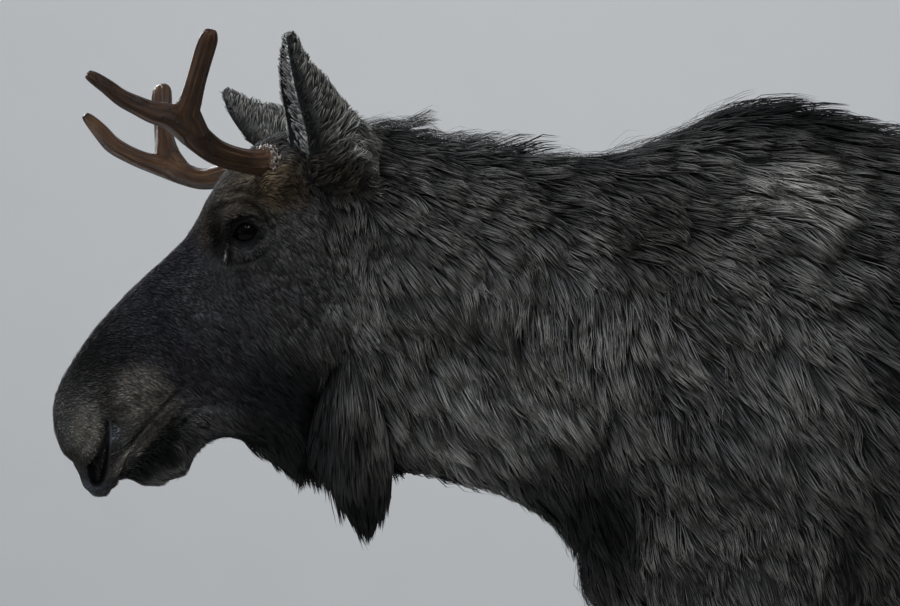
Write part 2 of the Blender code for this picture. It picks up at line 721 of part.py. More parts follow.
def hair_way(point):
    """The lie of the long hair at a point, as read from the rows around it."""
    rows = np.array(HAIR_LIE)
    near = (rows[:, 0] - point[0]) ** 2 + (rows[:, 1] - point[2]) ** 2 + 1e-4
    way = (rows[:, 2:] / near[:, None] ** 1.5).sum(0)
    return Vector((way[0], 0.0, way[1])).normalized()


def lock_sections(root, skin, sizes, turn):
    """Rings of a flat, tapered lock that leaves the flesh at its root and lies along it."""
    length, width, thick, lift, hang, spread = sizes
    way = Matrix.Rotation(turn, 3, "Y") @ hair_way(root)
    way.y = spread * max(-1.0, min(1.0, root.y * 20.0))
    spot = root.copy()
    last = 0.0
    sections = []
    for along, wide, deep, height in LOCK_STATIONS:
        out = skin.find_nearest(spot)[1]
        lying = (way - out * way.dot(out)).normalized()
        course = lying.lerp(way, hang).normalized()
        spot += course * length * (along - last)
        last = along
        found, out, _, _ = skin.find_nearest(spot)
        if height < 0.0:
            middle = found + out * height
        else:
            middle = found.lerp(spot, hang) + out * height * lift
        across = course.cross(out).normalized()
        up = across.cross(course) * (thick * deep / 2)
        across *= width * wide / 2
        sections.append((middle + across, middle + up * 2.0, middle - across))
    return sections


def on_one_side(sections, cuts):
    """True where no cut passes through the rings or within a few millimetres."""
    for place, out in cuts:
        normal = Vector(out).normalized()
        far = [(p - Vector(place)).dot(normal) for ring in sections for p in ring]
        if min(far) < 0.004 and max(far) > -0.004:
            return False
    return True


def roots_over(skin, view, low, high, spacing, draw):
    """Places on the flesh in staggered rows, seen from each side, above or below."""
    found = []
    rows = int((high[1] - low[1]) / (spacing * 0.87)) + 1
    columns = int((high[0] - low[0]) / spacing) + 1
    for row in range(rows):
        for column in range(columns):
            x, other = draw.uniform(-0.12, 0.12, 2) * spacing
            x += low[0] + (column + row % 2 / 2) * spacing
            other += low[1] + row * spacing * 0.87
            for side in (LEFT, RIGHT):
                start = Vector((x, side * 2.0, other))
                ray = Vector((0.0, -side, 0.0))
                if view != "in":
                    if side == LEFT and other < spacing * 0.3:
                        continue
                    height = 3.0 if view == "down" else 0.6
                    start = Vector((x, side * other, height))
                    ray = Vector((0.0, 0.0, 1.6 - height)).normalized()
                hit = skin.ray_cast(start, ray)[0]
                if hit:
                    found.append(hit)
    return found


def keeps_off(sections, other):
    """True where every ring stays a little away from the other piece, if any."""
    if other is None:
        return True
    return all(other.find_nearest(p)[3] > LOCK_ROOM for ring in sections for p in ring)


def grow_locks(item, patches, solver, cuts=(), hanging=None):
    """Fuses locks into the item, spread evenly over the patches, clear of the cuts."""
    graph = bpy.context.evaluated_depsgraph_get()
    other = BVHTree.FromObject(hanging, graph) if hanging else None
    draw = np.random.default_rng(LOCK_SEED)
    growth = collection_named("locks", hidden=True)
    skin = BVHTree.FromObject(item, graph)
    for name, view, low, high, spacing, length, width, *rest in patches:
        for root in roots_over(skin, view, low, high, spacing, draw):
            share = 1.0 + LOCK_VARIES * draw.uniform(-1.0, 1.0)
            turn = math.radians(LOCK_TURN) * draw.uniform(-1.0, 1.0)
            for reach in (1.0, 0.85, 0.7, 0.55):
                sizes = (length * share * reach, width * share, *rest)
                sections = lock_sections(root, skin, sizes, turn)
                if on_one_side(sections, cuts) and keeps_off(sections, other):
                    tip = sections.pop()[0]
                    lofted("lock_" + name, growth, sections, tip)
                    break
    step = item.modifiers.new("grow", "BOOLEAN")
    step.operation = "UNION"
    step.operand_type = "COLLECTION"
    step.collection = growth
    step.solver = solver
    apply_modifiers(item)
    for spare in list(growth.objects):
        bpy.data.objects.remove(spare)
    bpy.data.collections.remove(growth)
    return largest_body(item)


def boolean(item, cutter, operation, solver="EXACT"):
    """Cuts, keeps or joins with another object, which stays."""
    step = item.modifiers.new("cut", "BOOLEAN")
    step.operation = operation
    step.object = cutter
    step.solver = solver
    apply_modifiers(item)
    return largest_body(item)


def spent(item, cutter, operation):
    """As boolean, and then removes the cutter."""
    boolean(item, cutter, operation)
    bpy.data.objects.remove(cutter)
    return item


def copy_of(item, name, home):
    made = bpy.data.objects.new(name, item.data.copy())
    home.objects.link(made)
    return made


def triangle_count(item):
    return sum(len(face.vertices) - 2 for face in item.data.polygons)


def thinned(item, triangles, care=None):
    """Fewer triangles, with more of them kept where care is high."""
    fewer = item.modifiers.new("thin", "DECIMATE")
    fewer.ratio = min(1.0, triangles / triangle_count(item))
    if care is not None:
        group = item.vertex_groups.new(name="plain")
        for level in range(1, 11):
            picked = np.nonzero(np.round((1.0 - care) * 10) == level)[0]
            group.add([int(index) for index in picked], level / 10, "REPLACE")
        fewer.vertex_group = group.name
        fewer.vertex_group_factor = CARE_STRENGTH
    apply_modifiers(item)
    item.vertex_groups.clear()
    return item


def zone(name, home, cuts, grow):
    """A large solid bounded by planes, each moved out by grow."""
    shape = bmesh.new()
    bmesh.ops.create_cube(shape, size=8.0)
    for point, out in cuts:
        normal = Vector(out).normalized()
        result = bmesh.ops.bisect_plane(
            shape,
            geom=shape.verts[:] + shape.edges[:] + shape.faces[:],
            plane_co=Vector(point) + normal * grow,
            plane_no=normal,
            clear_outer=True,
        )
        rim = [e for e in result["geom_cut"] if isinstance(e, bmesh.types.BMEdge)]
        bmesh.ops.edgeloop_fill(shape, edges=rim)
    made = object_from(name, shape, home)
    made.hide_render = True
    made.display_type = "WIRE"
    return made


def part_off(name, item, cuts, home, cutters):
    """Takes the piece inside the cuts off the item, with a thin gap between."""
    piece = copy_of(item, name, home)
    spent(piece, zone("inside", cutters, cuts, -GAP / 2), "INTERSECT")
    spent(item, zone("outside", cutters, cuts, GAP / 2), "DIFFERENCE")
    return piece


def to_side(cuts, side):
    return [((p[0], p[1] * side, p[2]), (n[0], n[1] * side, n[2])) for p, n in cuts]


def tube(name, home, rows, sides=2, pace=4):
    """A closed tube through rows of x, y, z and radius, on a smooth curve."""
    steps = (len(rows) - 1) * pace + 1
    fine = smooth_curve(rows, np.linspace(0.0, len(rows) - 1.0, steps))
    curve = bpy.data.curves.new(name, "CURVE")
    curve.dimensions = "3D"
    curve.bevel_depth = 1.0
    curve.bevel_resolution = sides
    curve.use_fill_caps = True
    line = curve.splines.new("POLY")
    line.points.add(steps - 1)
    for point, row in zip(line.points, fine):
        point.co = (*row[:3], 1.0)
        point.radius = row[3]
    item = bpy.data.objects.new(name, curve)
    home.objects.link(item)
    mesh = finished_mesh(item)
    bpy.data.objects.remove(item)
    shape = bmesh.new()
    shape.from_mesh(mesh)
    bmesh.ops.remove_doubles(shape, verts=shape.verts, dist=1e-6)
    return object_from(name, shape, home)


def lofted(name, home, sections, tip=None):
    """A closed form through rings of points, all with the same count, to a tip."""
    shape = bmesh.new()
    rings = [[shape.verts.new(point) for point in ring] for ring in sections]
    around = len(rings[0])
    for ring, after in zip(rings, rings[1:]):
        for k in range(around):
            n = (k + 1) % around
            shape.faces.new((ring[k], ring[n], after[n], after[k]))
    shape.faces.new(rings[0])
    if tip is None:
        shape.faces.new(rings[-1][::-1])
    else:
        point = shape.verts.new(tip)
        for k in range(around):
            shape.faces.new((rings[-1][k], rings[-1][(k + 1) % around], point))
    bmesh.ops.triangulate(shape, faces=shape.faces)
    return object_from(name, shape, home)


def antler(side, home):
    """Beam and two tines as one surface."""
    beam, front, rear = ANTLERS[side]
    forms = [tube("antler", home, rows) for rows in (beam, front, rear)]
    item = fuse(joined("antler", forms, home), ANTLER_VOXEL)
    ease(item.data, 6)
    return thinned(item, ANTLER_TRIANGLES)


def tine_cuts(side, which):
    """The planes that bound one tine of an antler, near the fork."""
    beam, front, rear = ANTLERS[side]
    fork = Vector(beam[-1][:3])
    ways = [(Vector(rows[3][:3]) - fork).normalized() for rows in (front, rear)]
    own, other = (ways[0], ways[1]) if which == "front" else (ways[1], ways[0])
    return [(fork + own * TINE_START, -own), (fork, other - own)]


def ear(side, home):
    """A leaf-shaped cup: a tube at its base that opens towards the tip."""
    base, tip, opening = (Vector(v) for v in EARS[side])
    axis = tip - base
    along = axis.normalized()
    ahead = (opening - along * opening.dot(along)).normalized()
    across = along.cross(ahead)
    sections = []
    for place, half, depth, lead, wrap in EAR_STATIONS:
        ring = []
        for inner in (False, True):
            thin = min(EAR_WALL, half * 0.45) if inner else 0.0
            angles = np.radians(np.linspace(-wrap, wrap, EAR_AROUND))
            for angle in angles[::-1] if inner else angles:
                forward = lead - (depth - thin) * math.cos(angle)
                sideways = (half - thin) * math.sin(angle)
                ring.append(base + axis * place + ahead * forward + across * sideways)
        sections.append(ring)
    return lofted("ear", home, sections)


def claw(pair, side, outer, home):
    """One half of a hoof, flat below and cut off by the coronet above."""
    heel_x, middle = CLAW_HEEL[pair]
    heel_x += LEG_STEP[pair, side]
    middle = (middle + CLAW_SPREAD * outer) * side
    sections = []
    for distance, half, height in CLAW_STATIONS:
        drift = 0.03 * distance * outer * side
        x = heel_x - distance
        y = middle + drift
        ring = [(x, y + half * across, height * up) for across, up in CLAW_RING]
        sections.append(ring)
    return lofted("claw", home, sections)


def dewclaw(pair, side, outer, home):
    x, middle, z = DEWCLAW[pair]
    spot = (x + LEG_STEP[pair, side], (middle + DEWCLAW_SPREAD * outer) * side, z)
    return ellipsoid("dewclaw", home, spot, DEWCLAW_HALF, 28.0, rings=4, sides=5)


def groove(name, home, rows, skin, side):
    """A cutter along a line on the skin, as wide as a cut and as deep."""
    rows = smooth_curve(rows, np.linspace(0, len(rows) - 1, 2 * len(rows) - 1))
    sections = []
    spots = [
        head_place() @ Vector((row[0], row[1] * side, row[2])) for row in rows
    ]
    for index, (row, spot) in enumerate(zip(rows, spots)):
        before = spots[max(index - 1, 0)]
        after = spots[min(index + 1, len(spots) - 1)]
        along = (after - before).normalized()
        found, out, _, _ = skin.find_nearest(spot)
        out = (out - along * out.dot(along)).normalized()
        wide = along.cross(out)
        top = found + out * 0.006
        low = found - out * row[4]
        sections.append(
            (
                top + wide * row[3] * 1.3,
                top - wide * row[3] * 1.3,
                low - wide * row[3] * 0.6,
                low + wide * row[3] * 0.6,
            )
        )
    return lofted(name, home, sections)


def eye_place(side, skin):
    """Axes at the eyeball: Z faces out of the head and X runs along the lids."""
    facing = Vector(EYE_FACING)
    facing.y *= side
    facing.normalize()
    along = Vector((math.cos(LID_TILT), 0.0, math.sin(LID_TILT)))
    along = (along - facing * along.dot(facing)).normalized()
    up = facing.cross(along)
    if up.z < 0:
        up = -up
    turn = head_place().to_3x3() @ Matrix((along, up, facing)).transposed()
    spot = head_place() @ Vector((EYE_SPOT[0], EYE_SPOT[1] * side, EYE_SPOT[2]))
    on_skin = skin.ray_cast(spot + turn.col[2] * 0.1, -turn.col[2])[0]
    middle = on_skin - turn.col[2] * EYE_SUNK
    return Matrix.Translation(middle) @ turn.to_4x4()


def lid(place, height, home):
    """A curved bar over the eyeball from corner to corner, thin at its ends."""
    rows = []
    for share in np.linspace(-1.0, 1.0, 7):
        x = LID_HALF_LENGTH * 1.12 * share
        y = height * (1.0 - share * share)
        rise = math.sqrt(max(0.0, (EYE_RADIUS + 0.001) ** 2 - x * x - y * y))
        spot = place @ Vector((x, y, max(rise, 0.0085)))
        rows.append((*spot, 0.0046 - 0.0016 * abs(share)))
    return tube("lid", home, rows, sides=1, pace=1)


def head_details(head, skin, home, cutters):
    """Lids and eye sockets, nostrils and the mouth line; returns the eyes."""
    eyes = []
    for side in (LEFT, RIGHT):
        place = eye_place(side, skin)
        for height in (UPPER_LID, -LOWER_LID):
            spent(head, lid(place, height, cutters), "UNION")
        name = "eye_" + SIDE_NAMES[side]
        middle = place.translation
        half = (EYE_RADIUS,) * 3
        eyes.append(ellipsoid(name, home, middle, half, 0.0, EYE_SIDES[1], EYE_SIDES[0]))
        half = (EYE_RADIUS + GAP,) * 3
        socket = ellipsoid("socket", cutters, middle, half, 0.0, *EYE_SIDES[::-1])
        spent(head, socket, "DIFFERENCE")
        for name, rows in (("mouth", MOUTH_LINE), ("nostril", NOSTRIL)):
            spent(head, groove(name, cutters, rows, skin, side), "DIFFERENCE")
        paint(eyes[-1], EYE_BLACK)
    return eyes


def legs(trunk, home, cutters):
    """Parts the legs off the trunk, in an upper and a lower piece each."""
    for side in (LEFT, RIGHT):
        for pair, cuts, joint, coronet in (
            ("fore", FORE_CUTS, KNEE_CUT, FORE_CORONET),
            ("hind", HIND_CUTS, HOCK_CUT, HIND_CORONET),
        ):
            name = pair + "leg_" + SIDE_NAMES[side]
            upper = part_off(name + "_upper", trunk, to_side(cuts, side), home, cutters)
            (x, y, z), out = joint
            up = tuple(-value for value in out)
            below = [((x + LEG_STEP[pair, side], y, z), up)]
            lower = part_off(name + "_lower", upper, below, home, cutters)
            (x, y, z), out = coronet
            ring = (x + LEG_STEP[pair, side], y, z)
            spent(lower, zone("shin", cutters, [(ring, out)], -GAP / 2), "INTERSECT")
            paint(lower, PALE_COAT)
            for outer, word in ((-1, "inner"), (1, "outer")):
                toe = claw(pair, side, outer, home)
                toe.name = "hoof_" + pair + "_" + SIDE_NAMES[side] + "_" + word
                down = tuple(-value for value in out)
                cut = zone("foot", cutters, [(ring, down)], -GAP / 2)
                spent(toe, cut, "INTERSECT")
                paint(toe, HOOF_HORN)
                spur = dewclaw(pair, side, outer, home)
                spur.name = "dewclaw_" + pair + "_" + SIDE_NAMES[side] + "_" + word
                fat = fattened(lower, cutters)
                spent(spur, fat, "DIFFERENCE")
                paint(spur, HOOF_HORN)


def fattened(item, home):
    """A copy of the item whose surface lies a gap further out."""
    made = copy_of(item, "fattened", home)
    move_to(made.data, coordinates(made.data) + normals(made.data) * GAP * 1.25)
    return made


def stand_at_origin(home):
    """Hangs every piece on an empty that brings the middle of the ground to 0."""
    points = np.vstack([coordinates(item.data) for item in home.objects])
    low = points.min(0)
    high = points.max(0)
    hub = bpy.data.objects.new("moose_origin", None)
    hub.location = (-(low[0] + high[0]) / 2, -(low[1] + high[1]) / 2, -low[2])
    for item in list(home.objects):
        item.parent = hub
    home.objects.link(hub)
    bpy.context.view_layer.update()


def build():
    clear_scene()
    home = collection_named("moose")
    cutters = collection_named("cutters", hidden=True)
    flesh = joined("flesh", body_forms(cutters) + head_forms(cutters), cutters)
    fuse(flesh, FLESH_VOXEL)
    points = coordinates(flesh.data)
    trunk = ramp(points[:, 0], -0.66, -0.50) * ramp(points[:, 2], 0.90, 1.06)
    ease(flesh.data, TRUNK_EASE_ROUNDS, trunk)
    ease(flesh.data, FINE_EASE_ROUNDS)
    swell(flesh.data, BODY_SWELLS)
    swell(flesh.data, HEAD_SWELLS, head_place())
    ease(flesh.data, 2)
    points = coordinates(flesh.data)
    core = COAT_CORE * long_coat(points)
    points -= normals(flesh.data) * core[:, None]
    move_to(flesh.data, points)
    skin = BVHTree.FromObject(flesh, bpy.context.evaluated_depsgraph_get())
    care = HEAD_CARE * (1.0 - ramp(points[:, 0], -0.60, -0.42))
    care = np.maximum(care, LEG_CARE * (1.0 - ramp(points[:, 2], 0.80, 0.95)))
    thinned(flesh, FLESH_TRIANGLES, care)
    fat = fattened(flesh, cutters)

    bell = rib_form(
        "bell", home, central_ribs(BELL_RIBS), BELL_START, BELL_END, rings=6, sides=8
    )
    grow_locks(bell, (BELL_PATCH,), "EXACT")
    spent(bell, copy_of(fat, "fat", cutters), "DIFFERENCE")
    tail = rib_form(
        "tail", home, central_ribs(TAIL_RIBS), TAIL_START, TAIL_END, rings=4, sides=10
    )
    spent(tail, copy_of(fat, "fat", cutters), "DIFFERENCE")
    paint(bell, COAT)
    paint(tail, COAT)
    for side in (LEFT, RIGHT):
        lobe = ear(side, home)
        lobe.name = "ear_" + SIDE_NAMES[side]
        spent(lobe, copy_of(fat, "fat", cutters), "DIFFERENCE")
        paint(lobe, PALE_COAT)
        beam = antler(side, home)
        beam.name = "antler_" + SIDE_NAMES[side] + "_beam"
        spent(beam, copy_of(fat, "fat", cutters), "DIFFERENCE")
        for which in ("front", "rear"):
            name = "antler_" + SIDE_NAMES[side] + "_" + which + "_tine"
            cuts = tine_cuts(side, which)
            paint(part_off(name, beam, cuts, home, cutters), ANTLER_BONE)
        paint(beam, ANTLER_BONE)

    paint(flesh, COAT)
    grow_locks(flesh, LOCK_PATCHES, "MANIFOLD", (HEAD_CUT, NECK_CUT), bell)
    head = part_off("head", flesh, [HEAD_CUT], home, cutters)
    neck = part_off("neck", flesh, [NECK_CUT], home, cutters)
    head_details(head, skin, home, cutters)
    torso = copy_of(flesh, "torso", home)
    legs(torso, home, cutters)
    for item in list(cutters.objects):
        bpy.data.objects.remove(item)
    for item in (head, neck, torso):
        paint(item, COAT)
    stand_at_origin(home)


build()
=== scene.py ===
"""Looks of a young bull moose: skin, coat, eyes, ears, antlers and hooves, in metres.

Everything is drawn with the animal facing -X, its left side at -Y and the withers
above X = 0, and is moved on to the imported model's place at the end.
"""

import json
import math

import bmesh
import bpy
import numpy as np
from mathutils import Matrix, Vector
from mathutils.bvhtree import BVHTree
from mathutils.kdtree import KDTree

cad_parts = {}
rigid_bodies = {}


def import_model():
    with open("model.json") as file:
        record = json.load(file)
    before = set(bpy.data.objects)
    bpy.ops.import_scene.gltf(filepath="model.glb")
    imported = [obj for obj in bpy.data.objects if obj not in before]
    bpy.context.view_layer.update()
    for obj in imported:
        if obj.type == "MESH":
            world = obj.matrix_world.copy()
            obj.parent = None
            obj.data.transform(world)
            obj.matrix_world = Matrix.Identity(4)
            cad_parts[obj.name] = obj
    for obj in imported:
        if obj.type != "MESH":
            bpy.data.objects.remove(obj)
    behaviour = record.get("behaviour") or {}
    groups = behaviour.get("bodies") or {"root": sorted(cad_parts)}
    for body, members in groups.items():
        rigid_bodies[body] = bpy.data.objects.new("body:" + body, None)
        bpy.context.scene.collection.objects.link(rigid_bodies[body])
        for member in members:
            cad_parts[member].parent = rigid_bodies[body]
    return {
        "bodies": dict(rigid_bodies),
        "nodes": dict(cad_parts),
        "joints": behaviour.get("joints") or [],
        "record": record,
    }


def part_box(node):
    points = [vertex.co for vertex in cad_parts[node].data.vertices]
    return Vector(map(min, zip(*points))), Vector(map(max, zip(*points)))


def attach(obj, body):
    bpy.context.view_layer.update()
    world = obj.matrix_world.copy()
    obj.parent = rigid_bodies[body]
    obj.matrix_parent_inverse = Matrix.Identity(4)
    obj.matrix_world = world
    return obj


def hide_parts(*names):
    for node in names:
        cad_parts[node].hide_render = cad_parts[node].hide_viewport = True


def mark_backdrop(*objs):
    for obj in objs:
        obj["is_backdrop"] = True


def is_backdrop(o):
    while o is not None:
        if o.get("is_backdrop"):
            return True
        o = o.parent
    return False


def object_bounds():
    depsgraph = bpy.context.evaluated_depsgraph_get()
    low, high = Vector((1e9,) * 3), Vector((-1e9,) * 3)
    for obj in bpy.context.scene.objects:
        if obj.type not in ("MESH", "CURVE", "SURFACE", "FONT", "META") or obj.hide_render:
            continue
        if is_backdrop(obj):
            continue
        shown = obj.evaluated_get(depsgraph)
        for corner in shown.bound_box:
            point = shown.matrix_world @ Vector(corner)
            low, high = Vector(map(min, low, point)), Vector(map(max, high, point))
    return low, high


# Skin: size of its first faces, rounds of evening on trunk and face, and the share
# of the trunk's faces that is kept
SKIN_VOXEL = 0.005
TRUNK_EASE_ROUNDS = 130
FINE_EASE_ROUNDS = 10
BODY_SHARE = 0.16
# How far the skin lies under the outline on face, jaw, neck, trunk, legs and bell;
# on the jaw it is added to the face's
COAT_DEPTHS = (0.0012, 0.0058, 0.019, 0.011, 0.004, 0.001)
# Faces are split within these distances of an eye and of a line, and evened there.
FINER_REACHES = (((0.08, 0.036), (0.084, 0.04)), ((0.04, 0.017), (0.044, 0.02)))
# A part of a line shorter than this, squared, counts as a point.
LEAST_STEP = 1e-12

# Camera and room
PICTURE_WIDTH = 900
PIXELS_PER_METRE = 680.0
CAMERA_DISTANCE = 9.0
CAMERA_AIM = Vector((-0.434, 0.0, 1.49))
CAMERA_DROP = math.radians(3.0)
SENSOR_WIDTH = 36.0
FLOOR_REACH = 60.0
BACKDROP_REACH = 30.0
BACKDROP_Y = 46.0
FLOOR_COLOUR = (0.5, 0.5, 0.49)
BACKDROP_COLOUR = (0.82, 0.83, 0.84)
ROOM_COLOUR = (0.85, 0.92, 1.0, 1.0)
ROOM_STRENGTH = 0.28
# Lights: place, aim, size, power, colour, whether shiny things show it
LIGHTS = {
    "sky": ((-2.5, -3.0, 6.0), (-0.2, 0.0, 1.2), 3.2, 420.0, (0.88, 0.94, 1.0), True),
    "front": ((-4.0, -6.5, 4.2), (-0.4, 0.0, 1.4), 3.5, 170.0, (0.95, 0.97, 1.0), False),
    "rim": ((-3.6, 6.0, 4.6), (-0.7, 0.0, 1.4), 2.6, 420.0, (0.92, 0.96, 1.0), True),
    "backdrop": ((0.0, 26.0, 14.0), (0.0, 46.0, 2.0), 6.0, 1700.0, (1.0, 1.0, 1.0), True),
}

# The head looks a little to its left and leans a little to its right.
HEAD_PIVOT = Vector((-0.56, 0.0, 1.55))
HEAD_YAW = math.radians(7.0)
HEAD_ROLL = math.radians(2.5)

LEFT = -1
RIGHT = 1
SIDE_NAMES = {LEFT: "left", RIGHT: "right"}

# Head ribs: top x, top z, bottom x, bottom z, then half widths down the rib.
HEAD_RIBS = (
    (-0.993, 1.238, -0.928, 1.213, 0.036, 0.05, 0.052, 0.04),
    (-1.008, 1.284, -0.919, 1.221, 0.046, 0.062, 0.063, 0.05),
    (-1.011, 1.33, -0.909, 1.233, 0.051, 0.068, 0.069, 0.055),
    (-0.997, 1.388, -0.893, 1.254, 0.054, 0.068, 0.071, 0.058),
    (-0.954, 1.454, -0.868, 1.281, 0.052, 0.064, 0.069, 0.058),
    (-0.905, 1.508, -0.836, 1.306, 0.05, 0.06, 0.066, 0.056),
    (-0.855, 1.557, -0.78, 1.302, 0.05, 0.062, 0.066, 0.054),
    (-0.818, 1.603, -0.716, 1.27, 0.06, 0.078, 0.072, 0.05),
    (-0.789, 1.649, -0.66, 1.254, 0.08, 0.102, 0.082, 0.054),
    (-0.76, 1.689, -0.606, 1.258, 0.09, 0.112, 0.094, 0.06),
    (-0.718, 1.721, -0.566, 1.335, 0.086, 0.108, 0.102, 0.07),
    (-0.662, 1.746, -0.544, 1.425, 0.072, 0.098, 0.104, 0.08),
    (-0.603, 1.758, -0.529, 1.515, 0.062, 0.09, 0.102, 0.088),
)
HEAD_START = (-0.964, 1.206)
HEAD_END = (-0.5, 1.64)

# Lower lip, chin and the front of the lower jaw
JAW_RIBS = (
    (-0.918, 1.248, -0.904, 1.226, 0.026, 0.034, 0.034, 0.024),
    (-0.892, 1.286, -0.868, 1.222, 0.04, 0.05, 0.048, 0.034),
    (-0.858, 1.318, -0.829, 1.238, 0.048, 0.056, 0.053, 0.04),
    (-0.818, 1.345, -0.795, 1.272, 0.052, 0.058, 0.054, 0.042),
    (-0.762, 1.36, -0.752, 1.286, 0.054, 0.06, 0.056, 0.044),
)
JAW_START = (-0.924, 1.23)
JAW_END = (-0.69, 1.33)

# Haired stump under each antler: middle, half sizes, turn about Y in degrees
PEDICLE = ((-0.69, 0.076, 1.678), (0.04, 0.036, 0.036), -10.0)

# Neck ribs, from inside the head to inside the chest
NECK_RIBS = (
    (-0.59, 1.752, -0.64, 1.262, 0.064, 0.098, 0.108, 0.062),
    (-0.529, 1.767, -0.588, 1.24, 0.06, 0.108, 0.124, 0.07),
    (-0.463, 1.759, -0.515, 1.234, 0.058, 0.114, 0.134, 0.078),
    (-0.375, 1.738, -0.426, 1.22, 0.058, 0.124, 0.146, 0.088),
    (-0.279, 1.731, -0.353, 1.2, 0.064, 0.138, 0.162, 0.096),
    (-0.191, 1.735, -0.288, 1.16, 0.07, 0.158, 0.184, 0.106),
    (-0.1, 1.768, -0.225, 1.092, 0.076, 0.178, 0.208, 0.116),
    (0.0, 1.784, -0.14, 1.035, 0.08, 0.196, 0.224, 0.126),
)
NECK_START = (-0.68, 1.52)
NECK_END = (0.12, 1.4)

# Torso ribs, from the front of the chest to the buttocks
TORSO_RIBS = (
    (-0.12, 1.752, -0.2, 1.04, 0.066, 0.17, 0.205, 0.116),
    (-0.035, 1.806, -0.13, 0.992, 0.068, 0.194, 0.23, 0.124),
    (0.08, 1.8, 0.0, 0.978, 0.076, 0.224, 0.25, 0.132),
    (0.23, 1.76, 0.17, 0.972, 0.094, 0.25, 0.272, 0.142),
    (0.41, 1.704, 0.39, 0.962, 0.108, 0.27, 0.292, 0.152),
    (0.595, 1.656, 0.59, 0.968, 0.12, 0.274, 0.298, 0.152),
    (0.78, 1.632, 0.78, 1.004, 0.128, 0.26, 0.276, 0.134),
    (0.945, 1.64, 0.94, 1.06, 0.13, 0.246, 0.24, 0.104),
    (1.085, 1.622, 1.08, 1.104, 0.122, 0.234, 0.214, 0.088),
    (1.22, 1.562, 1.2, 1.13, 0.1, 0.2, 0.188, 0.078),
    (1.318, 1.474, 1.296, 1.19, 0.07, 0.15, 0.142, 0.06),
)
TORSO_START = (-0.236, 1.33)
TORSO_END = (1.372, 1.34)

# Foreleg ribs: front x, front z, back x, back z, middle y, half width
FORELEG_RIBS = (
    (-0.15, 1.24, 0.17, 1.22, 0.135, 0.085),
    (-0.165, 1.12, 0.168, 1.135, 0.15, 0.09),
    (-0.14, 1.025, 0.155, 1.06, 0.152, 0.083),
    (-0.09, 0.92, 0.108, 0.945, 0.15, 0.067),
    (-0.06, 0.8, 0.074, 0.805, 0.145, 0.054),
    (-0.046, 0.68, 0.054, 0.68, 0.14, 0.045),
    (-0.054, 0.605, 0.048, 0.6, 0.138, 0.047),
    (-0.052, 0.545, 0.052, 0.545, 0.138, 0.045),
    (-0.031, 0.465, 0.045, 0.465, 0.136, 0.034),
    (-0.025, 0.335, 0.038, 0.335, 0.134, 0.028),
    (-0.031, 0.225, 0.05, 0.225, 0.133, 0.035),
    (-0.043, 0.172, 0.05, 0.18, 0.133, 0.04),
    (-0.062, 0.125, 0.028, 0.142, 0.133, 0.039),
    (-0.086, 0.085, 0.008, 0.088, 0.133, 0.048),
    (-0.099, 0.055, 0.001, 0.045, 0.133, 0.049),
)
FORELEG_START = (0.02, 1.3)
FORELEG_END = (-0.055, 0.03)

# Hind leg ribs, as the foreleg's
HINDLEG_RIBS = (
    (0.9, 1.38, 1.31, 1.37, 0.13, 0.105),
    (0.84, 1.22, 1.34, 1.23, 0.148, 0.114),
    (0.836, 1.085, 1.31, 1.095, 0.156, 0.106),
    (0.905, 0.975, 1.276, 0.998, 0.155, 0.087),
    (1.0, 0.865, 1.272, 0.888, 0.148, 0.066),
    (1.09, 0.768, 1.292, 0.788, 0.142, 0.05),
    (1.152, 0.69, 1.318, 0.708, 0.138, 0.044),
    (1.186, 0.61, 1.316, 0.628, 0.136, 0.044),
    (1.214, 0.535, 1.302, 0.535, 0.135, 0.037),
    (1.226, 0.4, 1.292, 0.4, 0.134, 0.029),
    (1.222, 0.3, 1.288, 0.3, 0.134, 0.029),
    (1.216, 0.222, 1.298, 0.224, 0.134, 0.036),
    (1.202, 0.17, 1.298, 0.18, 0.134, 0.04),
    (1.18, 0.125, 1.27, 0.142, 0.134, 0.039),
    (1.156, 0.085, 1.25, 0.088, 0.135, 0.048),
    (1.143, 0.055, 1.243, 0.045, 0.135, 0.049),
)
HINDLEG_START = (1.1, 1.46)
HINDLEG_END = (1.187, 0.03)

# How far each leg stands ahead of (-) or behind (+) the drawn one
LEG_STEP = {
    ("fore", LEFT): 0.0,
    ("fore", RIGHT): 0.05,
    ("hind", LEFT): 0.055,
    ("hind", RIGHT): -0.06,
}

# Swells and hollows of the fused flesh, on both sides: middle, half sizes, turn
# about Y in degrees, and how far the surface moves out.
BODY_SWELLS = {
    "shoulder_blade": ((0.0, 0.175, 1.5), (0.13, 0.14, 0.3), 18.0, 0.016),
    "upper_arm": ((-0.1, 0.2, 1.24), (0.13, 0.16, 0.13), -30.0, 0.022),
    "triceps": ((0.07, 0.215, 1.24), (0.15, 0.16, 0.17), 25.0, 0.022),
    "behind_shoulder": ((0.24, 0.28, 1.3), (0.11, 0.16, 0.26), 10.0, -0.014),
    "flank": ((0.79, 0.27, 1.35), (0.16, 0.18, 0.24), 15.0, -0.018),
    "hip_point": ((0.93, 0.22, 1.54), (0.1, 0.12, 0.08), 0.0, 0.02),
    "haunch": ((1.09, 0.24, 1.33), (0.23, 0.18, 0.26), 12.0, 0.022),
    "stifle": ((0.9, 0.23, 1.09), (0.11, 0.15, 0.12), 30.0, 0.016),
    "neck_groove": ((-0.33, 0.16, 1.38), (0.26, 0.14, 0.08), 12.0, -0.014),
}
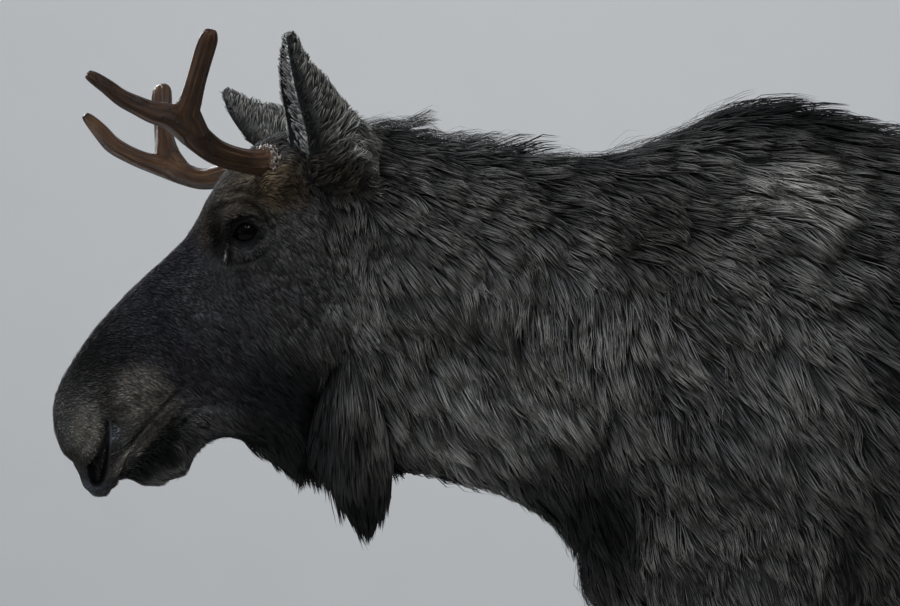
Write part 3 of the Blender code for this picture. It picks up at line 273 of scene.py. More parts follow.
HEAD_SWELLS = {
    "cheek": ((-0.64, 0.09, 1.43), (0.11, 0.09, 0.14), 30.0, 0.014),
    "orbit": ((-0.738, 0.09, 1.6), (0.075, 0.07, 0.07), 0.0, 0.012),
    "brow": ((-0.742, 0.1, 1.628), (0.05, 0.06, 0.026), 20.0, 0.008),
    "cheek_bone": ((-0.715, 0.105, 1.552), (0.07, 0.06, 0.03), 40.0, 0.005),
    "eye_hollow": ((-0.752, 0.09, 1.588), (0.032, 0.06, 0.03), 20.0, -0.007),
    "tear_groove": ((-0.775, 0.075, 1.555), (0.04, 0.06, 0.02), 60.0, -0.006),
    "temple": ((-0.66, 0.1, 1.64), (0.07, 0.08, 0.06), 20.0, -0.01),
    "nostril_wing": ((-0.975, 0.058, 1.29), (0.036, 0.06, 0.062), 10.0, 0.01),
    "nostril_hollow": ((-0.918, 0.065, 1.318), (0.03, 0.06, 0.05), 40.0, -0.006),
    "lip_pad": ((-0.876, 0.06, 1.35), (0.06, 0.06, 0.046), 50.0, 0.006),
    "nose_tip_under": ((-0.998, 0.03, 1.224), (0.052, 0.08, 0.052), 0.0, -0.015),
    "nose_front": ((-1.01, 0.0, 1.335), (0.05, 0.07, 0.075), 0.0, 0.0035),
    "chin_notch": ((-0.786, 0.0, 1.286), (0.075, 0.09, 0.046), 0.0, -0.006),
    "upper_bridge": ((-0.826, 0.0, 1.588), (0.09, 0.09, 0.07), 40.0, -0.0025),
    "mouth_corner": ((-0.812, 0.06, 1.335), (0.044, 0.05, 0.04), 50.0, 0.008),
}

FORE_CORONET = ((-0.046, 0.0, 0.065), (-0.275, 0.0, -0.961))
HIND_CORONET = ((1.196, 0.0, 0.065), (-0.275, 0.0, -0.961))
LEG_MIDDLE = 0.134
# The left forefoot's toe is this far ahead of the withers.
TOE_AHEAD = 0.144
HOOF_GAP = 0.002
# Skin laid on a coronet is drawn in by this much a metre, up to this share.
CORONET_PULL = 14.0
CORONET_MOST = 0.35

# Claws, from the heel forwards: distance, half width, height
CLAW_STATIONS = (
    (0.0, 0.0105, 0.03), (0.01, 0.0165, 0.046), (0.022, 0.0198, 0.11),
    (0.078, 0.0208, 0.11), (0.091, 0.0202, 0.072), (0.122, 0.0165, 0.042),
    (0.15, 0.005, 0.011),
)
# Around a claw from the sole's outer edge: share of the half width and the height
CLAW_RING = (
    (-0.94, 0.0), (0.94, 0.0), (1.0, 0.4), (0.8, 0.86),
    (0.0, 1.0), (-0.8, 0.86), (-1.0, 0.4),
)
CLAW_HEEL = {"fore": (0.006, 0.133), "hind": (1.248, 0.135)}
CLAW_SPREAD = 0.0228
# A claw drifts outwards by this much a metre, and its top slopes down from a place.
CLAW_DRIFT = 0.03
CLAW_TOP = 0.074
CLAW_SLOPE = 0.286
CLAW_TOP_PLACE = 0.05
DEWCLAW = {"fore": (0.015, 0.133, 0.12), "hind": (1.257, 0.134, 0.12)}
DEWCLAW_SPREAD = 0.021
DEWCLAW_HALF = (0.013, 0.011, 0.027)
DEWCLAW_TURN = 28.0

# Eyes, with the tilt and slant of the lids' opening
EYE_RADIUS = 0.02
EYE_FACING = (-0.2, 1.0, 0.08)
LID_TILT = math.radians(9.0)
LID_HALF_LENGTH = 0.0188
UPPER_LID = 0.0146
LOWER_LID = 0.0122
LID_AHEAD = 0.0056
# The lids are shaped within this reach and depth of the eyeball's middle.
LID_REACH = 0.062
LID_DEPTHS = (-0.03, 0.05)
LID_THICKNESS = 0.0034
LID_LEAST_HEIGHT = 0.0065
LID_SPREAD = (0.001, 0.017)
LID_RIM = (-0.0006, 0.0008)
SOCKET_DEPTH = 0.0045
CORNER_DEPTH = 0.01
# Folds round the lids: height, how far off the opening, half width
UPPER_LID_FOLDS = (
    (-0.0014, 0.0062, 0.002), (0.0013, 0.01, 0.004), (-0.0013, 0.015, 0.0024),
    (0.001, 0.02, 0.0036), (-0.0011, 0.0245, 0.0026),
)
LOWER_LID_FOLDS = (
    (0.0018, 0.007, 0.005), (-0.0014, 0.013, 0.0026), (-0.0008, 0.019, 0.0026),
)

# Mouth line from its corner forwards, and the nostril from its top:
# x, y, z, half width, depth
MOUTH_LINE = (
    (-0.8395, 0.065, 1.325, 0.001, 0.005),
    (-0.8465, 0.066, 1.3172, 0.0016, 0.009),
    (-0.8653, 0.066, 1.303, 0.002, 0.011),
    (-0.8931, 0.062, 1.2748, 0.002, 0.012),
    (-0.91, 0.048, 1.25, 0.002, 0.011),
    (-0.9202, 0.03, 1.2338, 0.0018, 0.01),
    (-0.924, 0.0, 1.228, 0.0016, 0.008),
)
NOSTRIL = (
    (-0.9425, 0.068, 1.313, 0.0012, 0.005),
    (-0.9425, 0.068, 1.297, 0.0026, 0.01),
    (-0.9455, 0.068, 1.281, 0.005, 0.016),
    (-0.949, 0.066, 1.268, 0.008, 0.022),
    (-0.953, 0.064, 1.254, 0.011, 0.026),
    (-0.9565, 0.06, 1.242, 0.0132, 0.026),
    (-0.958, 0.056, 1.233, 0.0118, 0.018),
)
# Depth of the mouth line at its corner and how much less it is in front, depth under
# the lip, and heights of the nostril's wing and rim
MOUTH_DEPTH = 0.01
MOUTH_SHALLOWER = 0.0045
UNDER_LIP_DEPTH = 0.003
WING_HEIGHT = 0.006
NOSTRIL_RIM_HEIGHT = 0.0026

# Lines on the head, placed while it faces straight ahead
FACE_LINES = {
    "lip_crease": (
        (-0.915, 0.046, 1.27), (-0.9, 0.05, 1.292), (-0.8853, 0.052, 1.31),
        (-0.8638, 0.054, 1.332), (-0.8351, 0.056, 1.3655), (-0.824, 0.056, 1.386),
    ),
    "lip_band": (
        (-0.936, 0.04, 1.236), (-0.916, 0.046, 1.257), (-0.895, 0.052, 1.279),
        (-0.878, 0.055, 1.298), (-0.856, 0.058, 1.322), (-0.84, 0.058, 1.342),
    ),
    "lower_lip": (
        (-0.908, 0.036, 1.232), (-0.888, 0.048, 1.255), (-0.862, 0.056, 1.284),
        (-0.844, 0.058, 1.3),
    ),
    "under_lip": (
        (-0.915, 0.028, 1.218), (-0.898, 0.04, 1.24), (-0.874, 0.052, 1.27),
        (-0.852, 0.056, 1.294), (-0.838, 0.056, 1.312),
    ),
    "corner_fold": ((-0.814, 0.055, 1.364), (-0.803, 0.054, 1.352), (-0.797, 0.053, 1.337)),
    "outer_fold": ((-0.804, 0.056, 1.378), (-0.79, 0.055, 1.362), (-0.783, 0.054, 1.344)),
    "wing_fold": ((-0.936, 0.07, 1.322), (-0.925, 0.07, 1.312), (-0.914, 0.062, 1.296)),
    "eye_hollow": ((-0.788, 0.06, 1.61), (-0.785, 0.065, 1.586), (-0.779, 0.068, 1.562)),
    "front_wrinkle": (
        (-0.8, 0.05, 1.582), (-0.803, 0.045, 1.604), (-0.794, 0.04, 1.622),
        (-0.777, 0.045, 1.636),
    ),
    "tear_slit": ((-0.766, 0.078, 1.579), (-0.769, 0.072, 1.565), (-0.7687, 0.071, 1.547)),
    "tear_edge": ((-0.76, 0.08, 1.576), (-0.7625, 0.078, 1.562), (-0.7625, 0.077, 1.548)),
    "tear_thread": ((-0.7695, 0.075, 1.574), (-0.7705, 0.073, 1.558)),
    "tear_spot": ((-0.7705, 0.073, 1.562), (-0.7712, 0.072, 1.554)),
    "canthus": ((-0.7625, 0.08, 1.578), (-0.7655, 0.078, 1.57)),
    "inner_corner": ((-0.766, 0.08, 1.592), (-0.771, 0.074, 1.583)),
    "lid_fold": (
        (-0.768, 0.078, 1.6), (-0.757, 0.09, 1.612), (-0.74, 0.098, 1.6165),
        (-0.722, 0.1, 1.608),
    ),
    "lid_shadow": (
        (-0.75, 0.09, 1.6095), (-0.765, 0.082, 1.605), (-0.7695, 0.077, 1.593),
        (-0.765, 0.078, 1.582),
    ),
    "brow_crease": (
        (-0.786, 0.04, 1.618), (-0.7743, 0.0445, 1.6314), (-0.7501, 0.0685, 1.6383),
        (-0.7259, 0.0928, 1.6263), (-0.708, 0.1, 1.602),
    ),
    "brow_ridge": ((-0.776, 0.06, 1.614), (-0.75, 0.08, 1.624), (-0.726, 0.095, 1.614)),
    "upper_brow": ((-0.77, 0.045, 1.648), (-0.748, 0.062, 1.653), (-0.728, 0.085, 1.646)),
    "under_eye": (
        (-0.764, 0.07, 1.545), (-0.7514, 0.0897, 1.5477), (-0.73, 0.097, 1.553),
        (-0.708, 0.1, 1.57),
    ),
    "jaw_groove": (
        (-0.598, 0.11, 1.432), (-0.617, 0.09, 1.4), (-0.634, 0.07, 1.37),
        (-0.645, 0.06, 1.31), (-0.65, 0.04, 1.25),
    ),
    "arched_locks": (
        (-0.63, 0.11, 1.484), (-0.594, 0.11, 1.482), (-0.564, 0.11, 1.455),
        (-0.514, 0.11, 1.423),
    ),
}
# Folds of the face along those lines: reach to each side and height
FACE_FOLDS = (
    ("lip_crease", 0.006, -0.0022),
    ("lip_band", 0.0105, 0.0042),
    ("lower_lip", 0.012, 0.0026),
    ("corner_fold", 0.005, -0.0022),
    ("outer_fold", 0.006, -0.0018),
    ("wing_fold", 0.006, -0.003),
    ("eye_hollow", 0.013, -0.005),
    ("front_wrinkle", 0.007, -0.0036),
    ("tear_slit", 0.005, -0.0056),
    ("tear_edge", 0.0056, 0.0034),
    ("brow_crease", 0.008, -0.0062),
    ("brow_ridge", 0.01, 0.0052),
    ("upper_brow", 0.008, -0.0046),
    ("under_eye", 0.008, -0.0046),
)
# Folds of the throat, where it is drawn: line, reach to each side and height
THROAT_FOLDS = (
    (
        ((-0.583, 0.11, 1.445), (-0.6, 0.09, 1.405), (-0.622, 0.07, 1.369),
         (-0.634, 0.06, 1.31), (-0.64, 0.05, 1.262)),
        0.03, -0.013,
    ),
    (((-0.586, 0.08, 1.372), (-0.58, 0.07, 1.32), (-0.57, 0.055, 1.262)), 0.04, 0.014),
)

# Reach and share within which a line fades towards its ends, and what is left there
TAPER_REACH = 0.016
TAPER_SHARE = 0.45
TAPER_LEAST = 0.15

# Ears: base, tip, direction of the opening
EARS = {
    LEFT: ((-0.585, -0.088, 1.672), (-0.668, -0.205, 1.872), (-0.95, -0.3, -0.2)),
    RIGHT: ((-0.596, 0.094, 1.69), (-0.776, 0.236, 1.826), (-0.72, 0.3, -0.62)),
}
# From base to tip: place, half width, depth, opening edge ahead of the axis, wrap
EAR_STATIONS = (
    (-0.1, 0.018, 0.03, 0.004, 168.0),
    (0.02, 0.027, 0.042, 0.008, 162.0),
    (0.12, 0.038, 0.06, 0.018, 138.0),
    (0.22, 0.046, 0.074, 0.028, 114.0),
    (0.32, 0.05, 0.076, 0.035, 100.0),
    (0.46, 0.05, 0.068, 0.035, 94.0),
    (0.62, 0.044, 0.054, 0.031, 92.0),
    (0.77, 0.033, 0.033, 0.024, 90.0),
    (0.9, 0.018, 0.02, 0.013, 90.0),
    (0.98, 0.0075, 0.01, 0.005, 90.0),
)
EAR_WALL = 0.0075
# Rings along an ear, and points across each of its two sides
EAR_RINGS = 33
EAR_ROW = 21

# Antlers: x, y, z and radius along the beam, the front tine and the rear tine
ANTLERS = {
    LEFT: (
        (
            (-0.665, -0.07, 1.684, 0.019), (-0.69, -0.098, 1.69, 0.0196),
            (-0.697, -0.105, 1.69, 0.0212), (-0.719, -0.125, 1.688, 0.0181),
            (-0.745, -0.15, 1.691, 0.0174), (-0.772, -0.18, 1.699, 0.0187),
            (-0.794, -0.208, 1.714, 0.0205), (-0.81, -0.228, 1.729, 0.0215),
        ),
        (
            (-0.8, -0.216, 1.72, 0.0205), (-0.832, -0.246, 1.743, 0.019),
            (-0.86, -0.262, 1.75, 0.0155), (-0.88, -0.272, 1.758, 0.0135),
            (-0.902, -0.284, 1.768, 0.0121), (-0.924, -0.294, 1.784, 0.0107),
            (-0.941, -0.3, 1.795, 0.0092), (-0.951, -0.302, 1.801, 0.0066),
        ),
        (
            (-0.8, -0.216, 1.72, 0.0205), (-0.811, -0.242, 1.749, 0.0195),
            (-0.805, -0.258, 1.767, 0.0157), (-0.797, -0.276, 1.792, 0.0139),
            (-0.789, -0.294, 1.816, 0.0139), (-0.781, -0.31, 1.839, 0.0142),
            (-0.776, -0.319, 1.852, 0.0128), (-0.774, -0.324, 1.861, 0.008),
        ),
    ),
    RIGHT: (
        (
            (-0.7, 0.062, 1.69, 0.019), (-0.731, 0.094, 1.694, 0.0196),
            (-0.739, 0.101, 1.694, 0.0212), (-0.769, 0.13, 1.688, 0.0179),
            (-0.803, 0.16, 1.684, 0.0158), (-0.834, 0.192, 1.694, 0.0168),
            (-0.852, 0.212, 1.705, 0.019),
        ),
        (
            (-0.84, 0.2, 1.698, 0.018), (-0.875, 0.232, 1.711, 0.0151),
            (-0.9, 0.25, 1.72, 0.013), (-0.925, 0.266, 1.732, 0.0125),
            (-0.947, 0.28, 1.746, 0.0129), (-0.965, 0.292, 1.766, 0.0121),
            (-0.98, 0.3, 1.782, 0.0099), (-0.99, 0.304, 1.792, 0.0064),
        ),
        (
            (-0.84, 0.2, 1.698, 0.018), (-0.86, 0.236, 1.725, 0.0186),
            (-0.866, 0.256, 1.748, 0.0151), (-0.87, 0.276, 1.774, 0.0126),
            (-0.872, 0.294, 1.799, 0.0144), (-0.873, 0.308, 1.819, 0.0156),
            (-0.873, 0.318, 1.832, 0.0133), (-0.874, 0.322, 1.838, 0.0085),
        ),
    ),
}

# Faces and evening of the antlers, and heights of ridges, burr and its pearls
ANTLER_VOXEL = 0.0016
ANTLER_EASE_ROUNDS = 14
RIDGE_HEIGHT = 0.00075
BURR_HEIGHT = 0.0052
PEARL_HEIGHT = 0.003

# Bell under the throat: front x, front z, back x, back z, then half widths
BELL_RIBS = (
    (-0.622, 1.29, -0.52, 1.284, 0.016, 0.028, 0.03, 0.018),
    (-0.613, 1.25, -0.522, 1.24, 0.014, 0.024, 0.026, 0.016),
    (-0.602, 1.218, -0.526, 1.208, 0.012, 0.021, 0.022, 0.014),
    (-0.59, 1.192, -0.532, 1.186, 0.011, 0.018, 0.018, 0.011),
    (-0.576, 1.176, -0.54, 1.173, 0.008, 0.012, 0.012, 0.008),
)
BELL_START = (-0.565, 1.31)
BELL_END = (-0.556, 1.158)

# Tail: as the bell
TAIL_RIBS = (
    (1.286, 1.44, 1.334, 1.462, 0.016, 0.026, 0.026, 0.016),
    (1.312, 1.412, 1.366, 1.422, 0.016, 0.028, 0.028, 0.016),
    (1.332, 1.378, 1.384, 1.378, 0.014, 0.026, 0.026, 0.014),
    (1.348, 1.344, 1.386, 1.34, 0.01, 0.018, 0.018, 0.01),
)
TAIL_START = (1.29, 1.474)
TAIL_END = (1.372, 1.316)

# Lie of the coat seen from the side: x, z, way along x and z, length of the hair and
# how far its tips stand over the skin
COAT_LIE = (
    (-1.0, 1.34, 0.7, 0.1, 0.011, 0.002), (-0.97, 1.29, 0.85, -0.2, 0.008, 0.0018),
    (-0.96, 1.258, 0.5, -0.7, 0.005, 0.001), (-0.915, 1.262, 0.65, 0.6, 0.006, 0.001),
    (-0.88, 1.298, 0.65, 0.6, 0.007, 0.001), (-0.85, 1.33, 0.7, 0.3, 0.009, 0.0014),
    (-0.955, 1.22, 0.85, -0.1, 0.006, 0.0012), (-0.93, 1.21, 0.85, 0.1, 0.006, 0.0012),
    (-0.915, 1.225, 0.7, 0.4, 0.007, 0.0014), (-0.95, 1.4, 0.88, 0.02, 0.014, 0.0024),
    (-0.9, 1.46, 0.9, -0.1, 0.015, 0.0026), (-0.85, 1.42, 0.8, -0.58, 0.017, 0.0028),
    (-0.875, 1.355, 0.75, -0.65, 0.017, 0.0028), (-0.8, 1.45, 0.7, -0.7, 0.02, 0.0033),
    (-0.78, 1.36, 0.7, -0.7, 0.024, 0.004), (-0.82, 1.54, 0.92, -0.15, 0.016, 0.0029),
    (-0.74, 1.6, 0.9, -0.1, 0.014, 0.0029), (-0.73, 1.54, 0.68, -0.73, 0.018, 0.0035),
    (-0.77, 1.56, 0.1, -1.0, 0.006, 0.0008), (-0.69, 1.62, 0.6, -0.8, 0.016, 0.004),
    (-0.66, 1.55, 0.55, -0.83, 0.022, 0.0055), (-0.71, 1.66, 0.85, 0.45, 0.018, 0.004),
    (-0.745, 1.63, 0.9, 0.25, 0.009, 0.0016), (-0.78, 1.595, 0.85, 0.4, 0.008, 0.0014),
    (-0.735, 1.553, 0.75, -0.65, 0.01, 0.0016), (-0.705, 1.59, 0.7, -0.71, 0.012, 0.002),
    (-0.655, 1.494, 0.68, -0.73, 0.026, 0.0075), (-0.713, 1.347, 0.72, -0.69, 0.024, 0.007),
    (-0.66, 1.4, 0.7, -0.71, 0.03, 0.009), (-0.635, 1.43, 0.45, -0.89, 0.034, 0.011),
    (-0.6, 1.4, -0.05, -1.0, 0.06, 0.014), (-0.596, 1.568, 0.25, -0.97, 0.038, 0.013),
    (-0.57, 1.6, 0.22, -0.97, 0.042, 0.014), (-0.625, 1.671, 0.45, -0.85, 0.03, 0.011),
    (-0.6, 1.745, 1.0, 0.0, 0.03, 0.012), (-0.885, 1.235, 0.45, -0.88, 0.022, 0.006),
    (-0.84, 1.27, 0.55, -0.83, 0.025, 0.0055), (-0.78, 1.27, 0.62, -0.78, 0.024, 0.007),
    (-0.57, 1.755, 1.0, 0.0, 0.05, 0.034), (-0.51, 1.765, 1.0, -0.04, 0.07, 0.066),
    (-0.43, 1.75, 1.0, -0.08, 0.076, 0.056), (-0.34, 1.735, 1.0, -0.08, 0.078, 0.032),
    (-0.505, 1.245, 0.45, -0.89, 0.045, 0.014), (-0.55, 1.7, 0.9, -0.42, 0.052, 0.02),
    (-0.48, 1.72, 0.92, -0.4, 0.068, 0.025), (-0.3, 1.75, 0.95, -0.36, 0.076, 0.027),
    (-0.5, 1.62, 0.72, -0.69, 0.066, 0.023), (-0.36, 1.62, 0.77, -0.64, 0.074, 0.024),
    (-0.24, 1.6, 0.72, -0.69, 0.078, 0.024), (-0.49, 1.51, 0.5, -0.87, 0.078, 0.024),
    (-0.33, 1.5, 0.2, -0.98, 0.082, 0.025), (-0.24, 1.48, 0.18, -0.98, 0.082, 0.025),
    (-0.5, 1.39, 0.52, -0.85, 0.08, 0.025), (-0.4, 1.36, 0.57, -0.82, 0.084, 0.025),
    (-0.47, 1.27, 0.45, -0.89, 0.085, 0.027), (-0.25, 1.36, 0.42, -0.91, 0.085, 0.025),
    (-0.12, 1.64, 0.8, -0.6, 0.08, 0.024), (-0.1, 1.74, 0.95, -0.3, 0.085, 0.026),
    (0.0, 1.81, 1.0, -0.05, 0.085, 0.027), (0.05, 1.72, 0.95, -0.35, 0.088, 0.028),
    (0.16, 1.76, 0.97, -0.22, 0.085, 0.025), (0.03, 1.66, 0.9, -0.42, 0.085, 0.027),
    (0.1, 1.58, 0.75, -0.66, 0.08, 0.025), (0.05, 1.45, 0.57, -0.82, 0.078, 0.024),
    (-0.08, 1.42, 0.52, -0.85, 0.08, 0.024), (0.0, 1.28, 0.5, -0.87, 0.072, 0.023),
    (-0.25, 1.2, 0.4, -0.92, 0.08, 0.025), (-0.67, 1.26, 0.1, -1.0, 0.055, 0.016),
    (-0.62, 1.2, 0.35, -0.94, 0.06, 0.01), (-0.56, 1.2, 0.05, -1.0, 0.06, 0.009),
    (-0.53, 1.2, -0.3, -0.95, 0.06, 0.009), (0.4, 1.6, 0.95, -0.3, 0.055, 0.015),
    (0.4, 1.35, 0.85, -0.52, 0.05, 0.014), (0.45, 1.05, 0.95, -0.3, 0.055, 0.014),
    (0.75, 1.55, 0.9, -0.4, 0.05, 0.014), (0.8, 1.3, 0.75, -0.66, 0.045, 0.013),
    (1.05, 1.55, 0.85, -0.52, 0.05, 0.014), (1.1, 1.3, 0.35, -0.93, 0.045, 0.013),
    (1.28, 1.4, 0.1, -1.0, 0.045, 0.013), (1.34, 1.38, 0.3, -0.95, 0.05, 0.01),
    (1.1, 1.0, 0.15, -1.0, 0.035, 0.01), (1.22, 0.6, 0.1, -1.0, 0.016, 0.0045),
    (1.25, 0.3, 0.0, -1.0, 0.012, 0.004), (1.2, 0.1, -0.1, -1.0, 0.014, 0.005),
    (0.0, 1.05, 0.3, -0.95, 0.045, 0.012), (0.0, 0.85, 0.1, -1.0, 0.028, 0.007),
    (0.0, 0.55, 0.0, -1.0, 0.014, 0.0045), (0.01, 0.3, 0.0, -1.0, 0.012, 0.004),
    (-0.02, 0.1, -0.1, -1.0, 0.014, 0.005),
)

# Colour of the coat, its markings, painted shade under the chest and a painted highlight on
# the withers: middle, half sizes, colour, strength
COAT_BROWN = (0.04, 0.0385, 0.0375)
COAT_MARKS_AND_PAINTED_LIGHT = {
    "crest_dark": ((-0.3, 0.0, 1.76), (0.33, 0.16, 0.11), (0.036, 0.035, 0.036), 0.9),
    "back_dark": ((0.02, 0.0, 1.8), (0.33, 0.19, 0.11), (0.004, 0.004, 0.004), 1.0),
    # painted highlight: a pale patch high on the withers, where the light from above falls
    "withers_painted_highlight": ((0.035, 0.16, 1.65), (0.115, 0.2, 0.07), (0.135, 0.13, 0.124), 1.0),
    "neck_root_dark": ((-0.17, 0.15, 1.6), (0.11, 0.2, 0.11), (0.013, 0.012, 0.011), 0.8),
    "neck_mid_light": ((-0.27, 0.14, 1.44), (0.13, 0.2, 0.12), (0.062, 0.06, 0.059), 0.8),
    "shoulder_low": ((-0.04, 0.2, 1.34), (0.13, 0.2, 0.08), (0.042, 0.041, 0.042), 0.7),
    "neck_low_light": ((-0.42, 0.1, 1.34), (0.17, 0.2, 0.12), (0.096, 0.094, 0.093), 0.9),
    "shoulder_light": ((0.03, 0.16, 1.45), (0.17, 0.2, 0.14), (0.052, 0.05, 0.049), 0.7),
    "flank_edge_dark": ((0.23, 0.16, 1.42), (0.12, 0.22, 0.22), (0.014, 0.014, 0.015), 0.85),
    # painted shade: the chest under the neck, its darker coat made near black for the shade it
    # lies in
    "chest_painted_shade": ((-0.245, 0.0, 1.205), (0.175, 0.3, 0.165), (0.0012, 0.0012, 0.0012), 1.0),
    "shoulder_base": ((0.08, 0.2, 1.24), (0.11, 0.2, 0.11), (0.058, 0.056, 0.055), 0.7),
    "bell_dark": ((-0.575, 0.0, 1.23), (0.13, 0.11, 0.19), (0.0028, 0.0028, 0.0031), 1.0),
    "throat_mid": ((-0.605, 0.08, 1.32), (0.06, 0.12, 0.08), (0.012, 0.012, 0.013), 0.9),
    "shin_pale": ((0.01, 0.134, 0.36), (0.18, 0.2, 0.52), (0.15, 0.14, 0.125), 1.0),
    "hock_pale": ((1.23, 0.134, 0.36), (0.2, 0.2, 0.56), (0.15, 0.14, 0.125), 1.0),
}
# The head's own markings, with painted shade on the lower jaw, under it and on the lower lip,
# placed while it faces straight ahead
HEAD_MARKS_AND_PAINTED_SHADE = {
    "face_dark": ((-0.83, 0.0, 1.48), (0.22, 0.19, 0.21), (0.0135, 0.013, 0.017), 1.0),
    "face_brown": ((-0.8, 0.07, 1.5), (0.08, 0.1, 0.08), (0.027, 0.027, 0.03), 0.8),
    "nose_top_dark": ((-0.95, 0.0, 1.4), (0.11, 0.09, 0.09), (0.0035, 0.0033, 0.0032), 1.0),
    # painted shade: the lower jaw darkened, as it faces away from the light above
    "jaw_painted_shade": ((-0.68, 0.05, 1.37), (0.13, 0.12, 0.11), (0.005, 0.005, 0.006), 1.0),
    "cheek_mid": ((-0.67, 0.09, 1.5), (0.09, 0.08, 0.08), (0.027, 0.026, 0.027), 0.8),
    "muzzle_pale": ((-0.968, 0.07, 1.303), (0.04, 0.05, 0.05), (0.076, 0.07, 0.061), 0.95),
    "cheek_pale": ((-0.894, 0.066, 1.352), (0.054, 0.05, 0.06), (0.098, 0.088, 0.077), 0.9),
    "lip_pale": ((-0.88, 0.055, 1.3), (0.06, 0.05, 0.03), (0.045, 0.042, 0.039), 0.6),
    "chin_pale": ((-0.858, 0.03, 1.238), (0.05, 0.06, 0.034), (0.06, 0.058, 0.056), 0.8),
    # painted shade: under the jaw, and the lower lip in the upper lip's shadow, made near
    # black
    "jaw_under_painted_shade": ((-0.72, 0.0, 1.285), (0.15, 0.11, 0.05), (0.002, 0.002, 0.002), 1.0),
    "lower_lip_painted_shadow": ((-0.868, 0.05, 1.272), (0.045, 0.05, 0.022), (0.002, 0.002, 0.002), 1.0),
    "brow_front": ((-0.794, 0.05, 1.604), (0.036, 0.09, 0.055), (0.024, 0.0185, 0.0135), 0.85),
    "nose_band": ((-0.95, 0.07, 1.352), (0.018, 0.06, 0.04), (0.015, 0.013, 0.0115), 0.85),
    "nose_front": ((-0.992, 0.05, 1.262), (0.03, 0.08, 0.02), (0.019, 0.016, 0.013), 0.85),
    "nose_rim": ((-0.965, 0.04, 1.221), (0.034, 0.06, 0.015), (0.056, 0.06, 0.074), 0.8),
    "wing_blue": ((-0.935, 0.068, 1.294), (0.011, 0.05, 0.016), (0.09, 0.096, 0.112), 0.8),
    "brow_brown": ((-0.745, 0.08, 1.655), (0.08, 0.09, 0.055), (0.07, 0.055, 0.04), 0.85),
    "pedicle_brown": ((-0.7, 0.085, 1.665), (0.06, 0.07, 0.05), (0.075, 0.056, 0.036), 0.9),
    "cheek_bone": ((-0.775, 0.095, 1.545), (0.06, 0.05, 0.022), (0.034, 0.032, 0.031), 0.7),
    "round_eye": ((-0.744, 0.095, 1.59), (0.031, 0.06, 0.024), (0.001, 0.001, 0.001), 1.0),
    "tear_under": ((-0.768, 0.078, 1.562), (0.007, 0.03, 0.022), (0.005, 0.005, 0.005), 0.9),
    "crown_brown": ((-0.64, 0.06, 1.74), (0.08, 0.1, 0.05), (0.026, 0.022, 0.018), 0.8),
}
# Markings along the lines of the head, most of them painted shade in its creases, grooves and
# hollows: reach, colour, strength
LINE_MARKS_AND_PAINTED_SHADE = (
    # painted shadow under the upper lip's edge
    ("under_lip", 0.018, (0.0015, 0.0015, 0.0015), 1.0),
    ("lip_band", 0.012, (0.1, 0.092, 0.082), 1.0),
    # painted shade in the lip crease, the tear slit, the eye hollow and the front wrinkle
    ("lip_crease", 0.0044, (0.018, 0.016, 0.014), 0.55),
    ("tear_slit", 0.006, (0.001, 0.001, 0.001), 1.0),
    ("eye_hollow", 0.015, (0.0014, 0.0011, 0.0009), 1.0),
    ("front_wrinkle", 0.006, (0.005, 0.004, 0.0035), 0.85),
    ("canthus", 0.0052, (0.013, 0.007, 0.006), 1.0),
    ("tear_thread", 0.0026, (0.2, 0.19, 0.18), 1.0),
    ("tear_spot", 0.0026, (0.4, 0.39, 0.38), 1.0),
    # painted shade in the brow creases, the lid fold, under the eye, at the inner corner and
    # in the jaw groove
    ("brow_crease", 0.0065, (0.006, 0.005, 0.004), 0.85),
    ("upper_brow", 0.0065, (0.008, 0.007, 0.005), 0.8),
    ("under_eye", 0.006, (0.006, 0.006, 0.006), 0.8),
    ("lid_fold", 0.005, (0.003, 0.003, 0.002), 0.9),
    ("lid_shadow", 0.0085, (0.0005, 0.0004, 0.0004), 1.0),
    ("inner_corner", 0.012, (0.003, 0.002, 0.002), 0.9),
    ("jaw_groove", 0.013, (0.002, 0.002, 0.002), 0.9),
    ("arched_locks", 0.016, (0.085, 0.083, 0.082), 0.8),
)
EAR_OUTSIDE = (0.08, 0.077, 0.072)
EAR_INSIDE = (0.33, 0.335, 0.338)
EAR_FRIZZ = (0.27, 0.262, 0.25)
EAR_RIM = (0.004, 0.004, 0.004)
EAR_FOOT = (0.03, 0.025, 0.02)
# How the rows of COAT_LIE blend: blur, in square metres, and how fast they fade
LIE_BLUR = 2e-4
LIE_FADE = 1.7
# Width of a tuft, its widening with length, its thickness to its width, and how far
# its root lies under the skin and back
TUFT_WIDTH = 0.0008
TUFT_WIDENING = 0.019
TUFT_THICKNESS = 0.16
ROOT_DEPTH = 0.002
ROOT_BACK = 0.001
# Side of a tuft's patch on the unwrap and the margin round it. Below this height the
# unwrap goes round each leg: its middle off the middle line, and the pairs' places
PATCH = 0.003
MARGIN = 0.002
LEG_TOP = 0.95
LEG_OFF = 0.135
PAIRS_PART = 0.6
PAIR_PLACES = (0.0, 1.22)
# Pieces of the coat meet on planes that lean by this much, none of them grows hair
# below this height, and those ahead of the head's back leave eyes and mouth bare.
PIECE_SLANT = 0.25
LOWEST_HAIR = 0.07
HEAD_BACK = -0.6
# No hair grows within this distance of a burr.
BURR_BARE = 0.025
# Markings and painted shade along a line run on over the width of the head.
FLATTER = (1.0, 0.25, 1.0)
COAT_SEED = 5
EAR_TUFTS = {LEFT: 6400, RIGHT: 4600}
